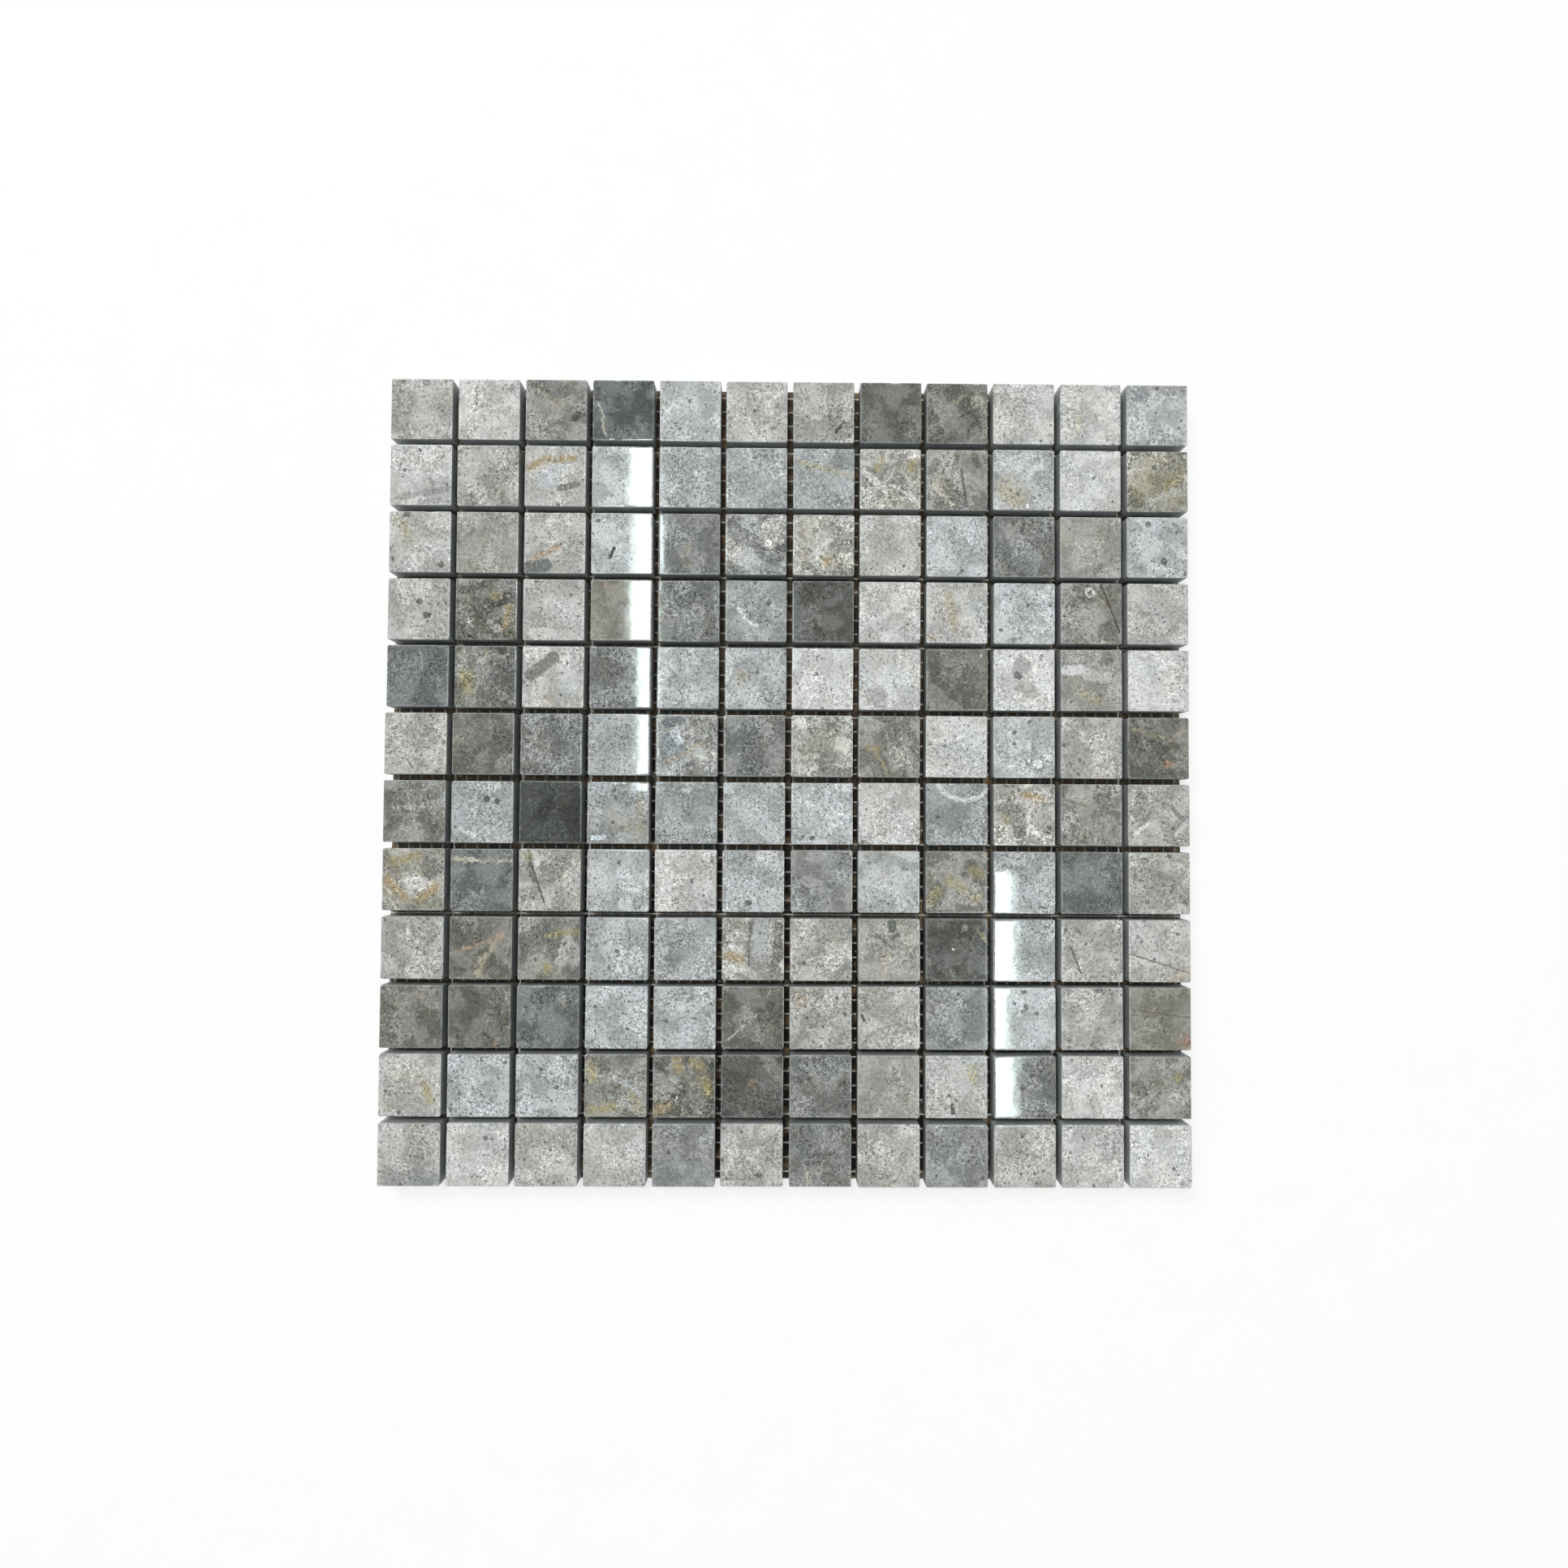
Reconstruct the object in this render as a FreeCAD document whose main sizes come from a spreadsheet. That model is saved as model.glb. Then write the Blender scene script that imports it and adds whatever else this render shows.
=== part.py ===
import FreeCAD, Part
import os
import Sketcher

# Mosaic sheet of small square stone chips, sawn and polished, glued face up on a woven
# glass-fibre net. It lies flat: the net is the underside, the polished faces look up.
# Origin at the middle of the underside, X along a row of chips, Y up the sheet, Z out of
# the polished faces. Millimetres.

doc = FreeCAD.newDocument("mosaic_sheet")

# Driving sizes. The pitch is a chip and a joint; twelve pitches make one laying module,
# and the sheet itself ends at the last chip, one joint short of it.
sizes = doc.addObject("Spreadsheet::Sheet", "sizes")
DRIVING = [
    ("chips_per_side", "12"),
    ("chip_side", "23"),
    ("chip_depth", "10"),
    ("joint_width", "2"),
    ("corner_round", "0.6"),
    ("arris_bevel", "0.3"),
    ("strand_width", "0.9"),
    ("warp_depth", "0.4"),
    ("weft_depth", "0.3"),
    ("panels_across", "5"),
    ("panels_up", "4"),
    ("meshes_across_panel", "14"),
    ("meshes_up_panel", "14"),
    ("chip_pitch", "=chip_side + joint_width"),
    ("sheet_side", "=chips_per_side * chip_pitch - joint_width"),
    ("panel_width", "=sheet_side / panels_across"),
    ("panel_height", "=sheet_side / panels_up"),
    ("mesh_across", "=panel_width / meshes_across_panel"),
    ("mesh_up", "=panel_height / meshes_up_panel"),
]
for row, (alias, value) in enumerate(DRIVING, start=1):
    sizes.set(f"A{row}", alias)
    sizes.set(f"B{row}", value)
    sizes.setAlias(f"B{row}", alias)
doc.recompute()


def count(alias):
    return int(round(float(sizes.get(alias))))


def origin_plane(body, role):
    return next(part for part in body.Origin.OriginFeatures if part.Role == role)


def rectangle(body, name, width, height):
    """A rectangle on the body's XY plane, centred on its origin, sized by the sheet."""
    sketch = body.newObject("Sketcher::SketchObject", name)
    sketch.AttachmentSupport = [(origin_plane(body, "XY_Plane"), "")]
    sketch.MapMode = "FlatFace"
    corner = [FreeCAD.Vector(x, y, 0) for x, y in ((-1, -1), (1, -1), (1, 1), (-1, 1))]
    for side in range(4):
        sketch.addGeometry(Part.LineSegment(corner[side], corner[(side + 1) % 4]), False)
    for side in range(4):
        sketch.addConstraint(Sketcher.Constraint("Coincident", side, 2, (side + 1) % 4, 1))
    for side in (0, 2):
        sketch.addConstraint(Sketcher.Constraint("Horizontal", side))
        sketch.addConstraint(Sketcher.Constraint("Vertical", side + 1))
    sketch.addConstraint(Sketcher.Constraint("Symmetric", 0, 1, 1, 2, -1, 1))
    wide = sketch.addConstraint(Sketcher.Constraint("DistanceX", 0, 1, 0, 2, 2))
    high = sketch.addConstraint(Sketcher.Constraint("DistanceY", 1, 1, 1, 2, 2))
    sketch.setExpression(f"Constraints[{wide}]", width)
    sketch.setExpression(f"Constraints[{high}]", height)
    return sketch


def pad(body, name, sketch, depth):
    feature = body.newObject("PartDesign::Pad", name)
    feature.Profile = sketch
    feature.setExpression("Length", depth)
    doc.recompute()
    return feature


def line_pattern(body, name, axis, spacing, copies):
    """Repeats along a sketch axis at a fixed spacing; the body ends with it."""
    pattern = body.newObject("PartDesign::LinearPattern", name)
    pattern.Direction = axis
    pattern.Mode = "Spacing"
    pattern.setExpression("Offset", spacing)
    pattern.setExpression("Occurrences", copies)
    body.Tip = pattern
    return pattern


def place(body, x, y, z):
    body.setExpression("Placement.Base.x", x)
    body.setExpression("Placement.Base.y", y)
    body.setExpression("Placement.Base.z", z)


# Chips, one body to each row, row 1 along the far edge (+Y). A chip is a sawn block of
# stone: its four upright corners are worn round and the arris of its polished face is
# just broken. The chips of a row stand clear of each other by the joint.
rows = []
for number in range(1, count("chips_per_side") + 1):
    row = doc.addObject("PartDesign::Body", f"chip_row_{number:02d}")
    outline = rectangle(row, f"chip_outline_{number:02d}",
                        "sizes.chip_side", "sizes.chip_side")
    block = pad(row, f"chip_block_{number:02d}", outline, "sizes.chip_depth")

    uprights = [f"Edge{i}" for i, edge in enumerate(block.Shape.Edges, start=1)
                if edge.BoundBox.ZLength > 0.5 * block.Shape.BoundBox.ZLength]
    corners = row.newObject("PartDesign::Fillet", f"chip_corners_{number:02d}")
    corners.Base = (block, uprights)
    corners.setExpression("Radius", "sizes.corner_round")
    doc.recompute()

    face_up = [f"Face{i}" for i, face in enumerate(corners.Shape.Faces, start=1)
               if face.BoundBox.ZMin > 0.5 * block.Shape.BoundBox.ZMax]
    arris = row.newObject("PartDesign::Chamfer", f"chip_arris_{number:02d}")
    arris.Base = (corners, face_up)
    arris.setExpression("Size", "sizes.arris_bevel")
    doc.recompute()

    laid = line_pattern(row, f"chips_laid_{number:02d}", (outline, ["H_Axis"]),
                        "sizes.chip_pitch", "sizes.chips_per_side")
    laid.TransformMode = "Whole shape"
    place(row,
          "-(sizes.chips_per_side - 1) / 2 * sizes.chip_pitch",
          f"((sizes.chips_per_side + 1) / 2 - {number}) * sizes.chip_pitch",
          "sizes.warp_depth")
    rows.append(row)

# Backing net: glass-fibre strands bonded where they cross, running under every chip and
# ending at the outer chips' sides. The strands up the sheet (warp) are the thicker ones and
# carry the chips; those along it (weft) pass through them at mid height, clear of the chips
# and of the floor. It is one net, drawn in equal panels that meet in the middle of a mesh.
# The first panel is drawn strand by strand, its near left crossing at the body's origin.
first = doc.addObject("PartDesign::Body", "backing_net_1_1")
warp_outline = rectangle(first, "warp_outline", "sizes.strand_width", "sizes.panel_height")
warp_outline.setExpression("AttachmentOffset.Base.y",
                           "(sizes.meshes_up_panel - 1) / 2 * sizes.mesh_up")
warp_strand = pad(first, "warp_strand", warp_outline, "sizes.warp_depth")
warp = line_pattern(first, "warp", (warp_outline, ["H_Axis"]),
                    "sizes.mesh_across", "sizes.meshes_across_panel")
warp.Originals = [warp_strand]
doc.recompute()

weft_outline = rectangle(first, "weft_outline", "sizes.panel_width", "sizes.strand_width")
weft_outline.setExpression("AttachmentOffset.Base.x",
                           "(sizes.meshes_across_panel - 1) / 2 * sizes.mesh_across")
weft_outline.setExpression("AttachmentOffset.Base.z",
                           "(sizes.warp_depth - sizes.weft_depth) / 2")
weft_strand = pad(first, "weft_strand", weft_outline, "sizes.weft_depth")
weft = line_pattern(first, "weft", (weft_outline, ["V_Axis"]),
                    "sizes.mesh_up", "sizes.meshes_up_panel")
weft.Originals = [weft_strand]
weft.Refine = False
doc.recompute()

# The other panels are clones of the first, one width or one height further on.
net = []
for up in range(1, count("panels_up") + 1):
    for across in range(1, count("panels_across") + 1):
        if (up, across) == (1, 1):
            panel = first
        else:
            panel = doc.addObject("PartDesign::Body", f"backing_net_{up}_{across}")
            clone = doc.addObject("PartDesign::FeatureBase", f"net_clone_{up}_{across}")
            clone.BaseFeature = first
            panel.Group = [clone]
            panel.Tip = clone
        place(panel,
              f"-sizes.sheet_side / 2 + {across - 1} * sizes.panel_width + sizes.mesh_across / 2",
              f"-sizes.sheet_side / 2 + {up - 1} * sizes.panel_height + sizes.mesh_up / 2",
              "0")
        net.append(panel)
doc.recompute()

# Nothing is written unless every feature is sound and each body holds what it should.
for item in doc.Objects:
    if {"Invalid", "Error"} & set(item.State):
        raise RuntimeError(f"{item.Label} did not compute: {item.State}")
pieces = {body.Label: count("chips_per_side") for body in rows}
pieces.update({body.Label: 1 for body in net})
for body in rows + net:
    shape = body.Shape
    if shape.isNull() or not shape.isValid():
        raise RuntimeError(f"{body.Label} has no valid solid")
    if len(shape.Solids) != pieces[body.Label]:
        raise RuntimeError(f"{body.Label} has {len(shape.Solids)} solids")

os.makedirs("parts", exist_ok=True)
for body in rows + net:
    body.Shape.exportStep(f"parts/{body.Label}.step")
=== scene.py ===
import math
import random

import bpy
from mathutils import Euler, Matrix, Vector, noise


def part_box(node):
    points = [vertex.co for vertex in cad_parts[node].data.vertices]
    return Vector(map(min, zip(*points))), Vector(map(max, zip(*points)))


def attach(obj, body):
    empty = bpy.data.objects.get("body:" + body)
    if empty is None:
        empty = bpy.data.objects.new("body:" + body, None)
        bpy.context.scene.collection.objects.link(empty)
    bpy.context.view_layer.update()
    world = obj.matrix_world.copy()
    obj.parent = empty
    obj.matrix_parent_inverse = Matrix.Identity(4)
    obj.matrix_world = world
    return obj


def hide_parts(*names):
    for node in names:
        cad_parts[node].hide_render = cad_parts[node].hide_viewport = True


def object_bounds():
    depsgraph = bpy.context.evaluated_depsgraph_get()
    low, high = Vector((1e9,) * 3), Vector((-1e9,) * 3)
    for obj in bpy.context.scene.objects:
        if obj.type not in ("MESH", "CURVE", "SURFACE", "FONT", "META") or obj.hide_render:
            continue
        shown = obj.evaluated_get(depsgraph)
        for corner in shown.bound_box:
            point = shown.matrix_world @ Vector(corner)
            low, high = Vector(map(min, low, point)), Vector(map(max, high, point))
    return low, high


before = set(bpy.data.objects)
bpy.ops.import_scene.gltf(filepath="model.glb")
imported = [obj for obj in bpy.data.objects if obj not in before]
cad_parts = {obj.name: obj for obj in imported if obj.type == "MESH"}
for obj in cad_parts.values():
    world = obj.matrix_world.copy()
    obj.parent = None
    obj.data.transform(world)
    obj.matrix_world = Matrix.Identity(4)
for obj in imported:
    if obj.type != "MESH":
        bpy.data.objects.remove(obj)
CAD_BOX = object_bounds()

# Backing net. A woven net of coated glass-fibre yarn under the whole sheet: the weft is a
# flat yarn along the sheet, and each warp strand is a pair of finer yarns that cross over
# between the wefts and lock them. The chips are glued to it, and it lies on the floor.
MM = 0.001
PANELS_UP = 4
PANELS_ACROSS = 5
MESHES = 14
YARN_SIDES = 5
WEFT_WIDTH = 0.78 * MM
WEFT_DEPTH = 0.16 * MM
WEFT_SWAY = 0.05 * MM
WEFT_STEPS = 2 * MESHES
WARP_YARN_WIDTH = 0.40 * MM
WARP_YARN_DEPTH = 0.12 * MM
WARP_SWAY = 0.24 * MM
WARP_STEPS_PER_MESH = 4
net_low, net_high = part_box("backing_net_1_1")
PANEL_SIZE = net_high - net_low
MESH_ACROSS = PANEL_SIZE.x / MESHES
MESH_UP = PANEL_SIZE.y / MESHES
NET_DEPTH = PANEL_SIZE.z


class Wire:
    """A socket of a finish. Arithmetic on it adds the Math nodes that work it out."""

    def __init__(self, tree, socket):
        self.tree, self.socket = tree, socket

    def node(self, kind, settings=None, inputs=None, out=0):
        """A node of this kind, with its settings and what goes into its sockets."""
        made = self.tree.nodes.new(kind)
        for name, value in (settings or {}).items():
            if name == "stops":
                ramp = made.color_ramp
                while len(ramp.elements) < len(value):
                    ramp.elements.new(0.5)
                for element, (place, colour) in zip(ramp.elements, value):
                    element.position, element.color = place, colour
            else:
                setattr(made, name, value)
        for name, value in (inputs or {}).items():
            if isinstance(value, Wire):
                self.tree.links.new(value.socket, made.inputs[name])
            else:
                made.inputs[name].default_value = value
        return Wire(self.tree, made.outputs[out])

    def math(self, operation, *others):
        return self.node("ShaderNodeMath", {"operation": operation},
                         dict(enumerate((self, *others))))

    def vector(self, operation, *others, out="Vector"):
        return self.node("ShaderNodeVectorMath", {"operation": operation},
                         dict(enumerate((self, *others))), out)

    def __add__(self, other):
        return self.math("ADD", other)

    def __sub__(self, other):
        return self.math("SUBTRACT", other)

    def __rsub__(self, other):
        return self.node("ShaderNodeMath", {"operation": "SUBTRACT"}, {0: other, 1: self})

    def __mul__(self, other):
        return self.math("MULTIPLY", other)

    __radd__, __rmul__ = __add__, __mul__

    def step(self, low, high, start=0.0, end=1.0):
        """Goes smoothly from start at low to end at high."""
        return self.node("ShaderNodeMapRange", {"interpolation_type": "SMOOTHSTEP"},
                         {0: self, 1: low, 2: high, 3: start, 4: end})

    def ramp(self, *stops):
        """Colours along this value, each stop a place from 0 to 1 and its colour."""
        return self.node("ShaderNodeValToRGB", {"stops": stops}, {0: self})

    def tinted(self, colour, amount, blend="MIX"):
        """This colour with another laid over it by amount."""
        return self.node("ShaderNodeMix", {"data_type": "RGBA", "blend_type": blend},
                         {0: amount, 6: self, 7: colour}, 2)

    def noise(self, scale, detail=2.0, out="Fac", roughness=0.5, **settings):
        return self.node("ShaderNodeTexNoise", settings,
                         {"Vector": self, "Scale": scale, "Detail": detail,
                          "Roughness": roughness}, out)

    def bump(self, strength, distance):
        """The tilt that this height gives a surface."""
        return self.node("ShaderNodeBump", {}, {"Strength": strength, "Distance": distance,
                                                "Height": self})

    def beside(self, out):
        """Another output of the node that this wire comes from."""
        return Wire(self.tree, self.socket.node.outputs[out])

    def part(self, axis):
        """One of the three numbers of a place or a colour."""
        return self.node("ShaderNodeSeparateXYZ", {}, {0: self}, axis)


def finish(name, **constants):
    """A named finish: its material, its shader, and a Wire to start expressions from."""
    material = bpy.data.materials.new(name)
    material.use_nodes = True
    shader = material.node_tree.nodes["Principled BSDF"]
    for socket, value in constants.items():
        shader.inputs[socket.replace("_", " ")].default_value = value
    return material, shader, Wire(material.node_tree, None)


def lay(shader, **sockets):
    """Leads each wire into the shader's socket of that name."""
    for socket, wire in sockets.items():
        wire.tree.links.new(wire.socket, shader.inputs[socket.replace("_", " ")])


def linear(red, green, blue):
    """A colour written as it looks on screen, 0 to 255, as the shader needs it."""
    parts = [part / 255 for part in (red, green, blue)]
    return tuple([part / 12.92 if part < 0.04045 else ((part + 0.055) / 1.055) ** 2.4
                  for part in parts] + [1])


def piece(name, points, faces, material):
    mesh = bpy.data.meshes.new(name)
    mesh.from_pydata(points, [], faces)
    mesh.materials.append(material)
    mesh.shade_smooth()
    made = bpy.data.objects.new(name, mesh)
    bpy.context.scene.collection.objects.link(made)
    return made


def yarn(line, across, width, depth):
    """Points and faces of a flat yarn along a line, closed at both ends. across is the
    level direction that the width lies in."""
    points, faces = [], []
    for place in line:
        for side in range(YARN_SIDES):
            turn = math.tau * side / YARN_SIDES
            points.append(place + across * (width / 2 * math.cos(turn))
                          + Vector((0, 0, depth / 2 * math.sin(turn))))
    for step in range(len(line) - 1):
        for side in range(YARN_SIDES):
            here = step * YARN_SIDES + side
            there = step * YARN_SIDES + (side + 1) % YARN_SIDES
            faces.append((here, there, there + YARN_SIDES, here + YARN_SIDES))
    faces.append(tuple(reversed(range(YARN_SIDES))))
    faces.append(tuple(range(len(points) - YARN_SIDES, len(points))))
    return points, faces


def gather(parts):
    """Several meshes as one list of points and one of faces."""
    points, faces = [], []
    for part_points, part_faces in parts:
        start = len(points)
        points.extend(part_points)
        faces.extend(tuple(start + index for index in face) for face in part_faces)
    return points, faces


COATING_SHADE, COATING_LIGHT = linear(214, 213, 206), linear(240, 240, 235)
YARN_DIRT = linear(112, 100, 78)
glass_yarn, shader, wire = finish("coated_glass_yarn", IOR=1.45, Roughness=0.55)
place = wire.node("ShaderNodeTexCoord", out="Object")
fibres = place.noise(scale=2600.0, detail=3.0)
dirt = place.noise(scale=140.0, detail=3.0).step(0.45, 0.75)
coating = fibres.ramp((0.3, COATING_SHADE), (0.7, COATING_LIGHT))
lay(shader,
    Base_Color=coating.tinted(YARN_DIRT, dirt * 0.3),
    Normal=fibres.bump(strength=0.5, distance=0.08 * MM))

rng = random.Random(11)
for up in range(1, PANELS_UP + 1):
    for across in range(1, PANELS_ACROSS + 1):
        node = f"backing_net_{up}_{across}"
        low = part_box(node)[0]
        strands = []
        for number in range(MESHES):
            y = low.y + (number + 0.5) * MESH_UP
            sway = [rng.uniform(-WEFT_SWAY, WEFT_SWAY) for _ in range(WEFT_STEPS + 1)]
            sway[0] = sway[-1] = 0.0
            line = [Vector((low.x + step * MESH_ACROSS / 2, y + sway[step], NET_DEPTH / 2))
                    for step in range(WEFT_STEPS + 1)]
            strands.append(yarn(line, Vector((0, 1, 0)), WEFT_WIDTH, WEFT_DEPTH))
        for number in range(MESHES):
            x = low.x + (number + 0.5) * MESH_ACROSS
            for side in (-1, 1):
                line = []
                for step in range(MESHES * WARP_STEPS_PER_MESH + 1):
                    meshes_on = step / WARP_STEPS_PER_MESH
                    turn = math.pi * (meshes_on - 0.5)
                    shift = side * WARP_SWAY * math.sin(turn)
                    lift = side * (NET_DEPTH - WARP_YARN_DEPTH) / 2 * math.cos(turn)
                    line.append(Vector((x + shift, low.y + meshes_on * MESH_UP,
                                        NET_DEPTH / 2 + lift)))
                strands.append(yarn(line, Vector((1, 0, 0)), WARP_YARN_WIDTH, WARP_YARN_DEPTH))
        net = piece(f"net_{up}_{across}", *gather(strands), glass_yarn)
        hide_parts(node)
        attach(net, "root")

# Glue. The chips are bedded in an amber glue that has run across the meshes and dried as a
# thin skin under every joint. Along the upright joints the skin carries a painted shade,
# nearly black, stronger lower on the sheet. Paler beads stand where it was squeezed up
# against the chips.
CHIP_PITCH = 25 * MM
JOINT = 2 * MM
CHIPS = 12
SKIN_HALF_WIDTH = JOINT / 2 + 0.5 * MM
SKIN_DEPTH = 0.05 * MM
SKIN_HEIGHT = 0.12 * MM
SKIN_RIPPLE = 0.05 * MM
RIPPLE_LENGTH = 1.7 * MM
SKIN_FACE = 0.8 * MM
BEADS_TO_A_JOINT = 16
BEAD_FOOT = 0.22 * MM
BEAD_MARGIN = 3 * MM
LEAST_ASIDE, MOST_ASIDE = 0.55 * MM, 0.95 * MM
LOWEST_BEAD, HIGHEST_BEAD = 0.35 * MM, 0.9 * MM
SMALLEST_BEAD, LARGEST_BEAD = 0.5 * MM, 1.2 * MM
BEAD_ACROSS, BEAD_ALONG = 0.6, 1.2
sheet_low, sheet_high = CAD_BOX


def skin_height(x, y):
    return SKIN_HEIGHT + SKIN_RIPPLE * noise.noise(Vector((x, y, 0.0)) / RIPPLE_LENGTH)


def skin_strip(x_low, x_high, y_low, y_high):
    """A closed thin slab between four sides, rippled, about a millimetre to a face."""
    across = max(2, round((x_high - x_low) / SKIN_FACE))
    up = max(2, round((y_high - y_low) / SKIN_FACE))
    points, faces = [], []
    for level in (0, 1):
        for row in range(up + 1):
            for column in range(across + 1):
                x = x_low + (x_high - x_low) * column / across
                y = y_low + (y_high - y_low) * row / up
                points.append(Vector((x, y, skin_height(x, y) - level * SKIN_DEPTH)))
    under = len(points) // 2
    for row in range(up):
        for column in range(across):
            a = row * (across + 1) + column
            b, c, d = a + 1, a + across + 2, a + across + 1
            faces.append((a, b, c, d))
            faces.append((under + d, under + c, under + b, under + a))
    rim = (list(range(across))
           + [row * (across + 1) + across for row in range(up)]
           + [up * (across + 1) + column for column in range(across, 0, -1)]
           + [row * (across + 1) for row in range(up, 0, -1)])
    for here, there in zip(rim, rim[1:] + rim[:1]):
        faces.append((there, here, under + here, under + there))
    return points, faces


DARK_AMBER, LIGHT_AMBER = linear(94, 76, 54), linear(152, 126, 92)
# The black is a painted shade for the upright joints, not a colour of the glue.
OLIVE_GLUE, JOINT_SHADE_BLACK = linear(90, 88, 76), linear(24, 19, 13)
amber_glue, shader, wire = finish("dried_amber_glue", IOR=1.5)
place = wire.node("ShaderNodeTexCoord", out="Object")
thick = place.noise(scale=420.0, detail=3.0)
olive = place.noise(scale=90.0).step(0.5, 0.62)
film = thick.ramp((0.35, DARK_AMBER), (0.65, LIGHT_AMBER)).tinted(OLIVE_GLUE, olive)
off_joint = (place.part(0) * (1 / CHIP_PITCH) + 0.5).math("FRACT") - 0.5
in_upright = off_joint.math("ABSOLUTE").step(SKIN_HALF_WIDTH / CHIP_PITCH, JOINT / CHIP_PITCH,
                                             1.0, 0.0)
# Painted shade: along the upright joints the skin is darkened nearly to black, more towards the bottom of
# the sheet.
shade_less_up_the_sheet = place.part(1).step(-30 * MM, 40 * MM, 0.96, 0.6)
painted_joint_shade = in_upright * shade_less_up_the_sheet * place.noise(scale=150.0).step(0.62, 0.5)
lay(shader,
    Base_Color=film.tinted(JOINT_SHADE_BLACK, painted_joint_shade),
    Roughness=thick.step(0.3, 0.7, 0.4, 0.6))

strips = []
joints = [(number - CHIPS / 2) * CHIP_PITCH for number in range(1, CHIPS)]
for x in joints:
    strips.append(skin_strip(x - SKIN_HALF_WIDTH, x + SKIN_HALF_WIDTH, sheet_low.y, sheet_high.y))
ends = [sheet_low.x - SKIN_HALF_WIDTH] + joints + [sheet_high.x + SKIN_HALF_WIDTH]
for y in joints:
    for left, right in zip(ends, ends[1:]):
        strips.append(skin_strip(left + SKIN_HALF_WIDTH, right - SKIN_HALF_WIDTH,
                                 y - SKIN_HALF_WIDTH, y + SKIN_HALF_WIDTH))
skin = piece("glue_skin", *gather(strips), amber_glue)
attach(skin, "root")

CLEAR_GLUE, MILKY_GLUE = linear(150, 146, 132), linear(214, 214, 206)
pale_glue, shader, wire = finish("pale_glue_bead", IOR=1.48)
milky = wire.node("ShaderNodeTexCoord", out="Object").noise(scale=900.0)
lay(shader,
    Base_Color=milky.ramp((0.3, CLEAR_GLUE), (0.7, MILKY_GLUE)),
    Roughness=milky.step(0.3, 0.7, 0.18, 0.4))


def bead(centre, width, length, height):
    """A squashed drop of glue, pole up."""
    rings, sides = 4, 8
    points = [centre + Vector((0, 0, height / 2))]
    for ring in range(1, rings):
        fall = math.pi * ring / rings
        for side in range(sides):
            turn = math.tau * side / sides
            points.append(centre + Vector((width / 2 * math.sin(fall) * math.cos(turn),
                                           length / 2 * math.sin(fall) * math.sin(turn),
                                           height / 2 * math.cos(fall))))
    points.append(centre - Vector((0, 0, height / 2)))
    last = len(points) - 1
    faces = []
    for side in range(sides):
        there = (side + 1) % sides
        faces.append((0, 1 + side, 1 + there))
        for ring in range(rings - 2):
            a, b = 1 + ring * sides + side, 1 + ring * sides + there
            faces.append((a, a + sides, b + sides, b))
        a, b = last - sides + side, last - sides + there
        faces.append((a, last, b))
    return points, faces


rng = random.Random(23)
beads = []
for joint in joints:
    for upright in (True, False):
        for _ in range(BEADS_TO_A_JOINT):
            along = rng.uniform(sheet_low.x + BEAD_MARGIN, sheet_high.x - BEAD_MARGIN)
            aside = joint + rng.choice((-1, 1)) * rng.uniform(LEAST_ASIDE, MOST_ASIDE)
            height = rng.uniform(LOWEST_BEAD, HIGHEST_BEAD)
            size = rng.uniform(SMALLEST_BEAD, LARGEST_BEAD)
            x, y, width, length = aside, along, BEAD_ACROSS, BEAD_ALONG
            if not upright:
                x, y, width, length = along, aside, BEAD_ALONG, BEAD_ACROSS
            beads.append(bead(Vector((x, y, BEAD_FOOT + height / 2)),
                              size * width, size * length, height))
glue_beads = piece("glue_beads", *gather(beads), pale_glue)
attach(glue_beads, "root")

# Stone chips. Small blocks sawn from grey fossil limestone and polished on one face: the
# sides keep the saw's matt grey, with painted light paling them towards the foot, the four
# upright corners and the arris of the face are lightly worn, with a painted highlight along
# the arris, and each chip lies a hair off true. Every chip is a different cut of stone.
CHIP_SIDE = 22.84 * MM
CHIP_DEPTH = 9.86 * MM
CHIP_FOOT = 0.44 * MM
CORNER_STEPS = 4
SIDE_STEPS = 20
RING_POINTS = 4 * (CORNER_STEPS + SIDE_STEPS)
LARGEST_LOSS = 0.05 * MM
SHARP_CORNER, ROUND_CORNER = 0.45 * MM, 0.8 * MM
SHARPEST_CORNER = 0.02 * MM
FOOT_INSET, FOOT_BEVEL = 0.18 * MM, 0.2 * MM
ARRIS = 0.22 * MM
FACE_INSET = 0.45 * MM
NICKS = (0, 1, 1, 2, 3)
SHORT_NICK, LONG_NICK = 0.8, 2.0
SHALLOW_NICK, DEEP_NICK = 0.12 * MM, 0.4 * MM
NICK_DROP = 0.6
LARGEST_SHIFT = 0.10 * MM
EDGE_ROOM = 0.05 * MM
OUTERMOST = CHIP_PITCH * CHIPS / 2 - JOINT / 2 - CHIP_SIDE / 2 - EDGE_ROOM
LARGEST_TURN = math.radians(0.25)
OUTER_TURN = math.radians(0.05)
LARGEST_TILT = math.radians(0.20)


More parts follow.
